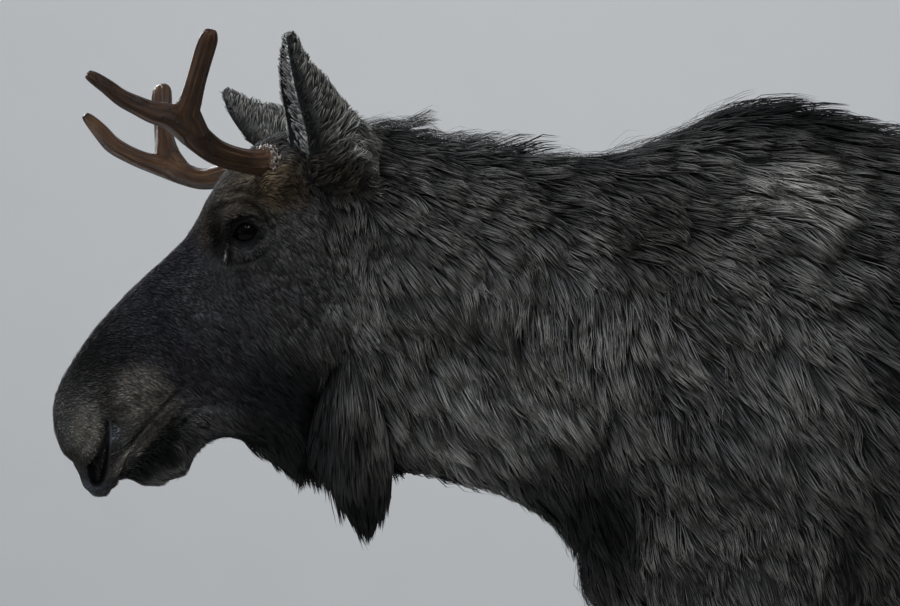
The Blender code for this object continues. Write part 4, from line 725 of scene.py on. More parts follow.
# Hair in an ear, and the wool outside it: least, and what is added low and behind
EAR_FAN_LENGTH = 0.017
EAR_FAN_LIFT = 0.0018
EAR_WOOL_LENGTHS = (0.02, 0.008, 0.014)
EAR_WOOL_LIFTS = (0.006, 0.006, 0.006)
BELL_TUFTS = 5500
BELL_LENGTHS = (0.022, 0.085)
LASHES = 30
LASHES_UP = 0.0015
LASH_LENGTH_LIFT = (0.008, 0.003)
LASH_COLOUR = (0.008, 0.007, 0.006)
BELL_TOP = (-0.588, 0.0, 1.5)
BELL_TIP = (-0.556, 0.0, 1.134)
# Where the bell's hair grows: height, front and back
BELL_EDGES = (
    (1.14, -0.562, -0.548), (1.165, -0.586, -0.538), (1.205, -0.602, -0.528),
    (1.243, -0.612, -0.524), (1.29, -0.62, -0.528), (1.353, -0.622, -0.545),
    (1.4, -0.6, -0.57), (1.415, -0.586, -0.584),
)

# Middle line of the body: x and z
MIDDLE_LINE = ((-1.0, 1.28), (-0.74, 1.47), (-0.55, 1.5), (0.0, 1.42), (1.35, 1.33))


def object_from(name, shape, home):
    """A mesh object made from a bmesh, which is freed."""
    mesh = bpy.data.meshes.new(name)
    bmesh.ops.recalc_face_normals(shape, faces=shape.faces)
    shape.to_mesh(mesh)
    shape.free()
    made = bpy.data.objects.new(name, mesh)
    home.objects.link(made)
    return made


def finished_mesh(item):
    """The object's mesh with its modifiers applied."""
    bpy.context.view_layer.update()
    graph = bpy.context.evaluated_depsgraph_get()
    mesh = bpy.data.meshes.new_from_object(item.evaluated_get(graph))
    mesh.transform(item.matrix_world)
    return mesh


def apply_modifiers(item):
    mesh = finished_mesh(item)
    item.modifiers.clear()
    item.matrix_world = Matrix.Identity(4)
    item.data = mesh


def smooth(item):
    """Shades the faces as one curve."""
    for face in item.data.polygons:
        face.use_smooth = True
    return item


def give(mesh, title, values, kind="FLOAT"):
    """Stores a value for each vertex under a title."""
    key = {"FLOAT": "value", "FLOAT_VECTOR": "vector", "FLOAT_COLOR": "color"}[kind]
    layer = mesh.attributes.new(title, kind, "POINT")
    layer.data.foreach_set(key, np.asarray(values, np.float32).ravel())


def smooth_curve(rows, places):
    """Rows of numbers read at fractional places, on a Catmull-Rom curve."""
    rows = np.asarray(rows, float)
    padded = np.vstack((2 * rows[0] - rows[1], rows, 2 * rows[-1] - rows[-2]))
    places = np.clip(np.asarray(places, float), 0.0, len(rows) - 1.0)
    span = np.minimum(places.astype(int), len(rows) - 2)
    t = (places - span)[:, None]
    a, b, c, d = (padded[span + k] for k in range(4))
    return 0.5 * (
        2 * b
        + (c - a) * t
        + (2 * a - 5 * b + 4 * c - d) * t**2
        + (3 * b - a - 3 * c + d) * t**3
    )


def rib_form(name, home, ribs, start, end, side=0, rings=48, sides=44, boxy=0.85):
    """A closed form over ribs, with rounded ends that reach start and end.

    A rib is front x, front z, back x, back z, middle y and four half widths. Ribs
    of the middle of the body leave out their middle y, which is 0.
    """
    ribs = np.asarray(ribs, float)
    if ribs.shape[1] == 8:
        ribs = np.insert(ribs, 4, 0.0, axis=1)
    cap = 5
    steps = rings + 2 * cap
    shape = bmesh.new()
    bmesh.ops.create_uvsphere(shape, u_segments=sides, v_segments=steps, radius=1.0)
    for vert in shape.verts:
        step = round(math.acos(max(-1.0, min(1.0, vert.co.z))) / math.pi * steps)
        turn = math.atan2(vert.co.y, vert.co.x)
        along = (step - cap) / rings * (len(ribs) - 1)
        row = smooth_curve(ribs, [along])[0]
        front = np.array((row[0], row[1]))
        back = np.array((row[2], row[3]))
        share = 1.0
        shift = np.zeros(2)
        beyond = max(cap - step, step - rings - cap)
        if beyond > 0:
            tip = np.array(start if step < cap else end)
            angle = (1.0 - beyond / cap) * math.pi / 2
            share = math.sin(angle)
            shift = (tip - (front + back) / 2) * (1.0 - (1.0 - math.cos(angle)))
        down = (1.0 - math.cos(turn)) / 2
        middle = (front + back) / 2
        point = middle + (front + (back - front) * down - middle) * share + shift
        width = smooth_curve(row[5:9, None], [down * 3])[0][0]
        reach = abs(math.sin(turn)) ** boxy * width * share
        lateral = row[4] * side + math.copysign(reach, math.sin(turn))
        vert.co = (point[0], lateral, point[1])
    return object_from(name, shape, home)


def leg_ribs(ribs, step):
    """Ribs of a leg, given four half widths and moved along X towards the ground."""
    made = []
    for front_x, front_z, back_x, back_z, middle, width in ribs:
        lean = step * min(1.0, max(0.0, (1.15 - front_z) / 0.75))
        made.append(
            (front_x + lean, front_z, back_x + lean, back_z, middle)
            + (width * 0.86, width, width, width * 0.82)
        )
    return made


def ellipsoid(name, home, middle, half, turn, rings=14, sides=20):
    shape = bmesh.new()
    bmesh.ops.create_uvsphere(shape, u_segments=sides, v_segments=rings, radius=1.0)
    place = (
        Matrix.Translation(middle)
        @ Matrix.Rotation(math.radians(turn), 4, "Y")
        @ Matrix.Diagonal((*half, 1.0))
    )
    bmesh.ops.transform(shape, matrix=place, verts=shape.verts)
    return object_from(name, shape, home)


def head_place():
    """The turn that takes the head from facing straight ahead to its pose."""
    return (
        Matrix.Translation(HEAD_PIVOT)
        @ Matrix.Rotation(HEAD_YAW, 4, "Z")
        @ Matrix.Rotation(HEAD_ROLL, 4, "X")
        @ Matrix.Translation(-HEAD_PIVOT)
    )


def head_forms(home):
    made = [
        rib_form("skull", home, HEAD_RIBS, HEAD_START, HEAD_END),
        rib_form("jaw", home, JAW_RIBS, JAW_START, JAW_END, rings=20),
    ]
    for side in (LEFT, RIGHT):
        middle, half, turn = PEDICLE
        spot = (middle[0], middle[1] * side, middle[2])
        made.append(ellipsoid("pedicle", home, spot, half, turn))
    for item in made:
        item.data.transform(head_place())
    return made


def body_forms(home):
    made = [
        rib_form("neck", home, NECK_RIBS, NECK_START, NECK_END),
        rib_form("trunk", home, TORSO_RIBS, TORSO_START, TORSO_END),
    ]
    for side in (LEFT, RIGHT):
        for pair, ribs, start, end in (
            ("fore", FORELEG_RIBS, FORELEG_START, FORELEG_END),
            ("hind", HINDLEG_RIBS, HINDLEG_START, HINDLEG_END),
        ):
            step = LEG_STEP[pair, side]
            foot = (end[0] + step, end[1])
            made.append(
                rib_form(
                    pair, home, leg_ribs(ribs, step), start, foot,
                    side=side, rings=64, sides=28, boxy=0.92,
                )
            )
    return made


def joined(name, items, home):
    """One object that holds the meshes of all the items, which are removed."""
    shape = bmesh.new()
    for item in items:
        shape.from_mesh(item.data)
        bpy.data.objects.remove(item)
    return object_from(name, shape, home)


def moved(points, place):
    """Points taken through a place's matrix."""
    turn = np.array(place)
    return points @ turn[:3, :3].T + turn[:3, 3]


def coordinates(mesh):
    points = np.empty(len(mesh.vertices) * 3, np.float32)
    mesh.vertices.foreach_get("co", points)
    return points.reshape(-1, 3).astype(float)


def normals(mesh):
    found = np.empty(len(mesh.vertices) * 3, np.float32)
    mesh.vertex_normals.foreach_get("vector", found)
    return found.reshape(-1, 3).astype(float)


def move_to(mesh, points):
    mesh.vertices.foreach_set("co", points.astype(np.float32).ravel())
    mesh.update()


def ramp(values, low, high):
    """0 up to low, 1 from high on and smooth between them."""
    share = np.clip((values - low) / (high - low), 0.0, 1.0)
    return share * share * (3.0 - 2.0 * share)


def swell(mesh, swells, place=None):
    """Moves the surface out or in around each swell, on both sides."""
    place = place or Matrix.Identity(4)
    for middle, half, turn, amount in swells.values():
        for side in (LEFT, RIGHT):
            spot = Vector((middle[0], middle[1] * side, middle[2]))
            frame = (
                place
                @ Matrix.Translation(spot)
                @ Matrix.Rotation(math.radians(turn), 4, "Y")
                @ Matrix.Diagonal((*half, 1.0))
            )
            points = coordinates(mesh)
            local = moved(points, frame.inverted())
            share = np.clip(1.0 - (local**2).sum(1), 0.0, 1.0) ** 2
            move_to(mesh, points + normals(mesh) * (share * amount)[:, None])


def ease(mesh, rounds, share=None):
    """Evens the surface by moving each vertex half way to its neighbours' middle."""
    ends = np.empty(len(mesh.edges) * 2, np.int32)
    mesh.edges.foreach_get("vertices", ends)
    one, other = ends.reshape(-1, 2).T
    size = len(mesh.vertices)
    count = np.bincount(one, minlength=size) + np.bincount(other, minlength=size)
    points = coordinates(mesh)
    pull = 0.5 if share is None else 0.5 * share[:, None]
    for _ in range(rounds):
        total = np.empty_like(points)
        for axis in range(3):
            line = points[:, axis]
            total[:, axis] = np.bincount(one, line[other], size)
            total[:, axis] += np.bincount(other, line[one], size)
        points += (total / count[:, None] - points) * pull
    move_to(mesh, points)


def fuse(item, voxel):
    """One closed surface round all the forms of the item."""
    remesh = item.modifiers.new("fuse", "REMESH")
    remesh.mode = "VOXEL"
    remesh.voxel_size = voxel
    apply_modifiers(item)


def tube(name, home, rows, sides=2, pace=4):
    """A closed tube through rows of x, y, z and radius, on a smooth curve."""
    steps = (len(rows) - 1) * pace + 1
    fine = smooth_curve(rows, np.linspace(0.0, len(rows) - 1.0, steps))
    curve = bpy.data.curves.new(name, "CURVE")
    curve.dimensions = "3D"
    curve.bevel_depth = 1.0
    curve.bevel_resolution = sides
    curve.use_fill_caps = True
    line = curve.splines.new("POLY")
    line.points.add(steps - 1)
    for point, row in zip(line.points, fine):
        point.co = (*row[:3], 1.0)
        point.radius = row[3]
    item = bpy.data.objects.new(name, curve)
    home.objects.link(item)
    mesh = finished_mesh(item)
    bpy.data.objects.remove(item)
    shape = bmesh.new()
    shape.from_mesh(mesh)
    bmesh.ops.remove_doubles(shape, verts=shape.verts, dist=1e-6)
    return object_from(name, shape, home)


def lofted(name, home, sections):
    """A closed form through rings of points, all with the same count."""
    shape = bmesh.new()
    rings = [[shape.verts.new(point) for point in ring] for ring in sections]
    around = len(rings[0])
    for ring, after in zip(rings, rings[1:]):
        for k in range(around):
            n = (k + 1) % around
            shape.faces.new((ring[k], ring[n], after[n], after[k]))
    shape.faces.new(rings[0])
    shape.faces.new(rings[-1][::-1])
    bmesh.ops.triangulate(shape, faces=shape.faces)
    return object_from(name, shape, home)


def surface_of(item):
    """The item's surface, to find the nearest places on it."""
    return BVHTree.FromObject(item, bpy.context.evaluated_depsgraph_get())


def coat_depth(points):
    """How far the skin lies inside the drawn outline."""
    x, z = points[:, 0], points[:, 2]
    face, jaw, neck, trunk, leg, beard = COAT_DEPTHS
    depth = face + jaw * ramp(x, -0.72, -0.58) * ramp(z, 1.20, 1.30)
    depth = depth + (neck - depth) * ramp(x, -0.56, -0.46) * ramp(z, 1.04, 1.16)
    body = ramp(x, 0.24, 0.44) * ramp(z, 0.80, 1.02)
    depth = depth + (trunk - depth) * body
    legs = 1.0 - ramp(z, 0.80, 1.06)
    depth = depth + (leg - depth) * legs
    hanging = 1.0 - ramp(z, 1.215, 1.245)
    bell = ramp(x, -0.66, -0.63) * (1.0 - ramp(x, -0.51, -0.49)) * hanging
    return depth * (1.0 - bell) + beard * bell


def above_coronets(points):
    """Leg points below a coronet's plane are laid onto it."""
    for pair, (place, out), low, high in (
        ("fore", FORE_CORONET, -0.5, 0.4),
        ("hind", HIND_CORONET, 0.8, 1.6),
    ):
        for side in (LEFT, RIGHT):
            mine = (points[:, 0] > low) & (points[:, 0] < high)
            mine &= (points[:, 1] * side > 0.0) & (points[:, 2] < 0.2)
            spot = np.array((place[0] + LEG_STEP[pair, side], 0.0, place[2]))
            normal = np.array(Vector(out).normalized())
            below = np.maximum((points - spot) @ normal + HOOF_GAP, 0.0) * mine
            points -= normal * below[:, None]
            middle = np.array((spot[0] + HOOF_GAP, LEG_MIDDLE * side, spot[2]))
            pull = np.clip(below * CORONET_PULL, 0.0, CORONET_MOST)[:, None]
            points += (middle - points) * pull * (1.0 - np.abs(normal)) * mine[:, None]
    return points


def thinned(item, share, plain):
    """Fewer faces where the skin is plain, and all of them kept elsewhere."""
    group = item.vertex_groups.new(name="plain")
    for level in range(1, 6):
        picked = np.nonzero(np.ceil(plain * 5) == level)[0]
        group.add(picked.tolist(), level / 5, "REPLACE")
    fewer = item.modifiers.new("thin", "DECIMATE")
    fewer.ratio = share
    fewer.vertex_group = group.name
    fewer.vertex_group_factor = 0.01
    apply_modifiers(item)
    item.vertex_groups.clear()


def finer(mesh, wanted):
    """Splits the faces whose middle is wanted in four."""
    shape = bmesh.new()
    shape.from_mesh(mesh)
    middles = np.array([face.calc_center_median() for face in shape.faces])
    chosen = np.nonzero(wanted(middles))[0]
    shape.faces.ensure_lookup_table()
    edges = {edge for index in chosen for edge in shape.faces[index].edges}
    bmesh.ops.subdivide_edges(shape, edges=list(edges), cuts=1, use_grid_fill=True)
    shape.to_mesh(mesh)
    shape.free()


def in_head(points):
    """Points as they are while the head faces straight ahead."""
    return moved(points, head_place().inverted())


def near_line(points, rows):
    """Distance of each point to a line through rows, and the row values there."""
    rows = np.asarray(rows, float)
    best = np.full(len(points), 1e9)
    found = np.zeros((len(points), rows.shape[1]))
    for one, other in zip(rows, rows[1:]):
        step = other[:3] - one[:3]
        share = (points - one[:3]) @ step / max(step @ step, LEAST_STEP)
        share = np.clip(share, 0.0, 1.0)
        row = one + (other - one) * share[:, None]
        far = np.linalg.norm(points - row[:, :3], axis=1)
        closer = far < best
        best[closer] = far[closer]
        found[closer] = row[closer]
    return best, found


def bump(values, middle, half):
    """1 at the middle, falling smoothly to 0 at half to each side."""
    return 1.0 - ramp(np.abs(values - middle), 0.0, half)


def on_skin(rows, surface, turn=None):
    """Rows with their places moved on to the surface, in the head's own frame."""
    made = []
    turn = head_place() if turn is None else turn
    back = turn.inverted()
    for row in rows:
        found = surface.find_nearest(turn @ Vector(row[:3]))[0]
        made.append((*(back @ found), *row[3:]))
    return made


def mirrored(rows):
    """The rows on the other side of the body."""
    return [(row[0], -row[1], *row[2:]) for row in rows]


def eye_axes(side, middle):
    """Axes at the eyeball: Z faces out of the head and X runs along the lids."""
    facing = Vector(EYE_FACING)
    facing.y *= side
    facing.normalize()
    along = Vector((math.cos(LID_TILT), 0.0, math.sin(LID_TILT)))
    along = (along - facing * along.dot(facing)).normalized()
    up = facing.cross(along)
    if up.z < 0:
        up = -up
    turn = head_place().to_3x3() @ Matrix((along, up, facing)).transposed()
    return Matrix.Translation(middle) @ turn.to_4x4()


def opening(local):
    """How far a point at the eye lies outside the almond between the lids."""
    x, y = local[:, 0] + LID_AHEAD, local[:, 1]
    span = np.clip(np.abs(x) / LID_HALF_LENGTH, 0.0, 1.0)
    height = np.where(y > 0.0, UPPER_LID, LOWER_LID) * (1.0 - span**2.2)
    slope = height / LID_HALF_LENGTH
    inside = (np.abs(y) - height) / np.sqrt(1.0 + 1.6 * slope**2 * span**2)
    outside = np.hypot(np.abs(x) - LID_HALF_LENGTH, y)
    return np.where(np.abs(x) < LID_HALF_LENGTH, inside, outside)


def shape_lids(points, places):
    """Lays the skin round each eyeball, opens the lids and folds the skin there."""
    for place in places:
        local = moved(points, place.inverted())
        x, y, z = local.T
        reach = np.hypot(x, y)
        mine = (reach < LID_REACH) & (z > LID_DEPTHS[0]) & (z < LID_DEPTHS[1])
        off = opening(local)
        ball = np.sqrt(np.clip(EYE_RADIUS**2 - reach**2, 0.0, None))
        outer = EYE_RADIUS + LID_THICKNESS
        over = np.sqrt(np.clip(outer**2 - reach**2, 0.0, None))
        over = np.maximum(over, LID_LEAST_HEIGHT)
        lid = over + (z - over) * ramp(off, *LID_SPREAD)
        upper = ramp(y, -0.004, 0.004)
        folds = np.zeros(len(points))
        for rows, there in ((UPPER_LID_FOLDS, upper), (LOWER_LID_FOLDS, 1.0 - upper)):
            for height, middle, half in rows:
                folds = folds + height * bump(off, middle, half) * there
        rim = ramp(off, *LID_RIM)
        low = np.where(reach < EYE_RADIUS, ball - SOCKET_DEPTH, z - CORNER_DEPTH)
        target = low + (lid + folds - low) * rim
        local[:, 2] = np.where(mine, target, z)
        points = np.where(mine[:, None], moved(local, place), points)
    return points


def tapered(points, rows):
    """1 along a line through rows, and less towards both its ends."""
    ends = np.array([rows[0][:3], rows[-1][:3]])
    reach = min(TAPER_REACH, TAPER_SHARE * float(np.linalg.norm(ends[1] - ends[0])))
    near = np.linalg.norm(points[:, None] - ends, axis=2).min(1)
    return TAPER_LEAST + (1.0 - TAPER_LEAST) * ramp(near, 0.0, reach)


def folded(points, outs, folds, surface, turn=None):
    """Points moved along the way out by each fold, on both sides."""
    local = in_head(points) if turn is None else points
    move = np.zeros(len(points))
    for line, reach, height in folds:
        for flip in (list, mirrored):
            rows = on_skin(flip(line), surface, turn)
            far = near_line(local, rows)[0]
            move += height * bump(far, 0.0, reach) * tapered(local, rows)
    return points + outs * move[:, None]


def shape_muzzle(points, outs, surface):
    """Nostrils, the mouth line and the lips beside it."""
    local = in_head(points)
    move = np.zeros(len(points))
    for flip in (list, mirrored):
        far, row = near_line(local, on_skin(flip(MOUTH_LINE), surface))
        above = (local[:, 2] - row[:, 2]) + (local[:, 0] - row[:, 0]) * -0.9
        below = 1.0 - ramp(above, -0.001, 0.001)
        front = ramp(-row[:, 0], 0.835, 0.880)
        depth = MOUTH_DEPTH - MOUTH_SHALLOWER * front
        move -= depth * (1.0 - ramp(far, 0.0008, 0.0042))
        move -= UNDER_LIP_DEPTH * below * (1.0 - ramp(far, 0.006, 0.034))
        far, row = near_line(local, on_skin(flip(NOSTRIL), surface))
        half = row[:, 3]
        move -= row[:, 4] * (1.0 - ramp(far, half * 0.70, half * 1.05 + 0.0014))
        ahead = ramp(row[:, 0] - local[:, 0], -0.002, 0.002)
        move += WING_HEIGHT * bump(far, half + 0.0110, 0.0120) * ahead
        move += NOSTRIL_RIM_HEIGHT * bump(far, half + 0.0050, 0.0055) * (1.0 - ahead)
    return points + outs * move[:, None]


def make_skin(home, eyes):
    """The whole animal's skin in one closed surface."""
    forms = body_forms(home) + head_forms(home)
    for name, ribs, start, end in (
        ("bell", BELL_RIBS, BELL_START, BELL_END),
        ("tail", TAIL_RIBS, TAIL_START, TAIL_END),
    ):
        forms.append(rib_form(name, home, ribs, start, end, rings=20, sides=20))
    skin = joined("skin", forms, home)
    fuse(skin, SKIN_VOXEL)
    mesh = skin.data
    points = coordinates(mesh)
    trunk = ramp(points[:, 0], -0.66, -0.50) * ramp(points[:, 2], 0.90, 1.06)
    bell = (points[:, 0] < -0.50) * (points[:, 2] < 1.24)
    ease(mesh, TRUNK_EASE_ROUNDS, trunk * (1.0 - bell))
    ease(mesh, FINE_EASE_ROUNDS, 1.0 - bell * 0.7)
    swell(mesh, BODY_SWELLS)
    swell(mesh, HEAD_SWELLS, head_place())
    ease(mesh, 2)
    surface = surface_of(skin)
    points = coordinates(mesh)
    points = folded(points, normals(mesh), THROAT_FOLDS, surface, Matrix.Identity(4))
    points -= normals(mesh) * coat_depth(points)[:, None]
    move_to(mesh, above_coronets(points))
    plain = ramp(points[:, 0], -0.58, -0.46)
    thinned(skin, BODY_SHARE, plain)
    mesh = skin.data
    mouth = list(MOUTH_LINE) + mirrored(MOUTH_LINE)[::-1]
    middles = [np.array(place.translation) for place in eyes]

    def near_details(spots, eye_reach, line_reach):
        local = in_head(spots)
        near = np.zeros(len(spots), bool)
        for middle in middles:
            near |= np.linalg.norm(spots - middle, axis=1) < eye_reach
        for rows in (mouth, NOSTRIL, mirrored(NOSTRIL)):
            near |= near_line(local, rows)[0] < line_reach
        return near

    for split_reaches, ease_reaches in FINER_REACHES:
        finer(mesh, lambda spots: near_details(spots, *split_reaches))
        ease(mesh, 1, near_details(coordinates(mesh), *ease_reaches).astype(float))
    surface = surface_of(skin)
    folds = [(FACE_LINES[name], reach, height) for name, reach, height in FACE_FOLDS]
    points = folded(coordinates(mesh), normals(mesh), folds, surface)
    points = shape_muzzle(points, normals(mesh), surface)
    points = shape_lids(points, eyes)
    move_to(mesh, points)
    return smooth(skin)


def chunks(count, size=20000):
    """Slices of so many rows at a time."""
    for start in range(0, count, size):
        yield slice(start, min(start + size, count))


def lie_of_coat(points):
    """Way along x and z, length and lift of the coat, read from the rows around."""
    rows = np.array(COAT_LIE)
    found = np.empty((len(points), 4))
    for part in chunks(len(points)):
        away = (points[part, 0, None] - rows[:, 0]) ** 2
        away += (points[part, 2, None] - rows[:, 1]) ** 2
        weight = (away + LIE_BLUR) ** -LIE_FADE
        found[part] = weight @ rows[:, 2:] / weight.sum(1)[:, None]
    return found


def coat_colour(points):
    """The coat's colour half way along its hair, with its painted shade and highlight, the
    same on both sides.
    """
    colour = np.tile(np.array(COAT_BROWN), (len(points), 1))
    for marks_and_painted_light, place in ((COAT_MARKS_AND_PAINTED_LIGHT, points), (HEAD_MARKS_AND_PAINTED_SHADE, in_head(points))):
        place = np.column_stack((place[:, 0], np.abs(place[:, 1]), place[:, 2]))
        for middle, half, shade, strength in marks_and_painted_light.values():
            off = (place - middle) / half
            share = ramp(1.0 - (off**2).sum(1), 0.0, 1.0) * strength
            colour += (np.array(shade) - colour) * share[:, None]
    local = in_head(points)
    local[:, 1] = np.abs(local[:, 1])
    local = local * FLATTER
    for name, reach, shade, strength in LINE_MARKS_AND_PAINTED_SHADE:
        rows = np.array(FACE_LINES[name]) * FLATTER
        share = (1.0 - ramp(near_line(local, rows)[0], reach * 0.3, reach)) * strength
        share *= 0.4 + 0.6 * tapered(local, rows)
        colour += (np.array(shade) - colour) * share[:, None]
    return colour


def triangles_of(mesh):
    """Three vertex numbers for each triangle."""
    mesh.calc_loop_triangles()
    corners = np.empty(len(mesh.loop_triangles) * 3, np.int32)
    mesh.loop_triangles.foreach_get("vertices", corners)
    return corners.reshape(-1, 3)


def scatter(mesh, count, weight, draw):
    """So many roots spread over a mesh where the weight is high, and the way out."""
    corners = triangles_of(mesh)
    points = coordinates(mesh)
    outs = normals(mesh)
    a, b, c = (points[corners[:, k]] for k in range(3))
    area = np.linalg.norm(np.cross(b - a, c - a), axis=1) / 2
    total = np.cumsum(area * weight((a + b + c) / 3))
    picks = (np.arange(count) + draw.random(count)) / count * total[-1]
    chosen = np.clip(np.searchsorted(total, picks), 0, len(corners) - 1)
    one, two = draw.random((2, count))
    flip = one + two > 1.0
    one[flip], two[flip] = 1.0 - one[flip], 1.0 - two[flip]
    share = np.column_stack((1.0 - one - two, one, two))[:, :, None]
    roots = (points[corners[chosen]] * share).sum(1)
    return roots, unit((outs[corners[chosen]] * share).sum(1))


def unit(vectors):
    """The vectors, each of length 1."""
    return vectors / np.maximum(np.linalg.norm(vectors, axis=1), 1e-9)[:, None]


def laid(ways, outs):
    """Ways turned into the plane of the skin."""
    return unit(ways - outs * (ways * outs).sum(1)[:, None])


def resting(spots, surface):
    """Nearest places on the skin, and the way out there."""
    found = [surface.find_nearest(spot)[:2] for spot in spots.tolist()]
    places = np.array([place[:] for place, out in found])
    return places, np.array([out[:] for place, out in found])


def nearest(points, spots):
    """The number of the nearest of the points, for each spot."""
    tree = KDTree(len(points))
    for index, point in enumerate(points):
        tree.insert(point, index)
    tree.balance()
    return [tree.find(spot)[1] for spot in spots.tolist()]


def leaders(roots, size, draw):
    """For each root, the nearest of a few that its tuft leans to."""
    picked = np.sort(draw.choice(len(roots), max(1, len(roots) // size), False))
    return picked[nearest(roots[picked], roots)]


def waves(points):
    """A slow change over the body, about -1 to 1."""
    x, y, z = points.T
    one = np.sin(x * 31.0 + 2.1 * np.sin(z * 23.0) + y * 17.0)
    two = np.sin(z * 43.0 - x * 19.0 + 1.7 * np.sin(x * 29.0 + y * 37.0))
    return 0.55 * one + 0.45 * two


def shared(draw, strand, lock, alike, low=0.0):
    """A random amount for each tuft, in part the same within a strand and a lock."""
    own = draw.random((3, len(strand)))
    mixed = (1.0 - alike) * own[0] + alike * (0.4 * own[1][strand] + 0.6 * own[2][lock])
    return low + (1.0 - low) * np.clip((mixed - 0.5) * 1.6 + 0.5, 0.0, 1.0)


def tufts(name, home, roots, outs, lie, colours, draw, surface, manner):
    """One mesh of closed, tapered tufts in strands and locks along the coat."""
    count = len(roots)
    ways, length, lift = laid(lie[:, :3], outs), lie[:, 3], lie[:, 4]
    strand = leaders(roots, manner["strand"], draw)
    lock = leaders(roots, manner["lock"], draw)
    own = draw.normal(0.0, 1.0, (2, count))
    turn = manner["wobble"] * (0.45 * own[0] + 0.8 * own[1][lock] + waves(roots))
    turn = turn[:, None]
    ways = unit(ways * np.cos(turn) + np.cross(outs, ways) * np.sin(turn))
    length = length * draw.uniform(0.8, 1.15, count) * draw.uniform(0.72, 1.2, count)[lock]
    rise = shared(draw, strand, lock, 0.75, 0.22)
    rise = np.where(draw.random(count) < manner["stray"], rise + 0.5, rise)
    lift = lift * rise
    shade = shared(draw, strand, lock, manner["alike"])
    width = manner["width"] * (TUFT_WIDTH + TUFT_WIDENING * length)
    width = width * draw.uniform(0.7, 1.3, count)
    course = [roots - outs * ROOT_DEPTH - ways * ROOT_BACK]
    across = np.cross(ways, outs)
    for along, wide, height, near, far in manner["stations"]:
        spots = roots + ways * (length * along)[:, None]
        places, out = resting(spots, surface) if surface else (spots, outs)
        place = places + out * (lift * height)[:, None]
        bend = draw.normal(0.0, manner["curl"], (2, count))
        bend = bend * (length * along**0.5)
        bend = 0.5 * bend + 0.5 * bend[:, strand]
        place = place + across * bend[0][:, None] + out * (bend[1] * 0.6)[:, None]
        place = place + (place[strand] - place) * near
        course.append(place + (place[lock] - place) * far)
    return tuft_mesh(name, home, course, outs, width, manner, shade, roots, colours)


def tuft_mesh(name, home, course, outs, width, manner, shade, roots, colours):
    """Rings of three round each course, closed by a point at both ends."""
    stations = manner["stations"]
    count = len(roots)
    rings = len(stations) - 1
    each = 2 + 3 * rings
    points = np.empty((count, each, 3))
    tip = np.zeros((count, each))
    patch = np.zeros((each, 2))
    points[:, 0], points[:, -1] = course[0], course[-1]
    patch[0], patch[-1] = (0.5, 0.0), (0.5, 1.0)
    for ring in range(rings):
        along, wide = stations[ring][:2]
        way = unit(course[ring + 2] - course[ring])
        across = unit(np.cross(way, outs))
        up = np.cross(across, way)
        half = across * (width * wide / 2)[:, None]
        first = 1 + 3 * ring
        points[:, first] = course[ring + 1] + half
        thick = (width * wide * TUFT_THICKNESS)[:, None]
        points[:, first + 1] = course[ring + 1] + up * thick
        points[:, first + 2] = course[ring + 1] - half
        tip[:, first : first + 3] = along
        patch[first : first + 3] = ((1.0, along), (0.5, along), (0.0, along))
    tip[:, -1] = 1.0
    faces = [(0, 2, 1), (0, 3, 2), (0, 1, 3)]
    for ring in range(rings - 1):
        low = 1 + 3 * ring
        for k in range(3):
            a, b = low + k, low + (k + 1) % 3
            faces += [(a, b, b + 3), (a, b + 3, a + 3)]
    low, end = 1 + 3 * (rings - 1), each - 1
    faces += [(low, low + 1, end), (low + 1, low + 2, end), (low + 2, low, end)]
    faces = np.array(faces)
    corners = (faces[None] + (np.arange(count) * each)[:, None, None]).reshape(-1)
    mesh = bpy.data.meshes.new(name)
    mesh.vertices.add(count * each)
    mesh.vertices.foreach_set("co", points.astype(np.float32).ravel())
    size = len(corners) // 3
    mesh.loops.add(len(corners))
    mesh.loops.foreach_set("vertex_index", corners.astype(np.int32))
    mesh.polygons.add(size)
    mesh.polygons.foreach_set("loop_start", np.arange(0, size * 3, 3, dtype=np.int32))
    mesh.polygons.foreach_set("use_smooth", np.ones(size, bool))
    mesh.update()
    give(mesh, "tip", tip)
    give(mesh, "shade", np.repeat(shade, each))
    give(mesh, "across", np.tile(patch[:, 0], count))
    colours = np.column_stack((colours, np.ones(count)))
    give(mesh, "marking", np.repeat(colours, each, 0), "FLOAT_COLOR")
    spots = np.repeat(unwrapped(roots), len(faces) * 3, 0)
    spots = spots + np.tile(patch[faces.ravel()] * PATCH, (count, 1))
    layer = mesh.uv_layers.new(name="OFBake")
    layer.data.foreach_set("uv", spots.astype(np.float32).ravel())
    item = bpy.data.objects.new(name, mesh)
    home.objects.link(item)
    return item


def unwrapped(points):
    """Places on an unwrap of the skin: along the body and round its middle line."""
    line = np.array(MIDDLE_LINE)
    middle = np.interp(points[:, 0], line[:, 0], line[:, 1])
    legs = points[:, 2] < LEG_TOP
    pair = np.where(points[:, 0] < PAIRS_PART, *PAIR_PLACES)
    angle = np.arctan2(points[:, 1], points[:, 2] - middle)
    leg_angle = np.arctan2(np.abs(points[:, 1]) - LEG_OFF, points[:, 0] - pair)
    u = np.where(legs, points[:, 2], points[:, 0])
    v = np.where(legs, leg_angle, angle)
    spots = np.column_stack((u, v))
    low, high = spots.min(0), spots.max(0)
    room = 1.0 - 2 * MARGIN - PATCH
    return MARGIN + (spots - low) / np.maximum(high - low, 1e-6) * room


def body_lie(roots, outs):
    """Way, length and lift of the coat on the skin."""
    found = lie_of_coat(roots)
    side = np.clip(roots[:, 1] * 12.0, -1.0, 1.0)
    crest = ramp(outs[:, 2], 0.55, 0.95) * ramp(roots[:, 0], -0.6, -0.4)
    spread = side * (0.10 + 0.30 * crest)
    return np.column_stack((found[:, 0], spread, found[:, 1], found[:, 2], found[:, 3]))


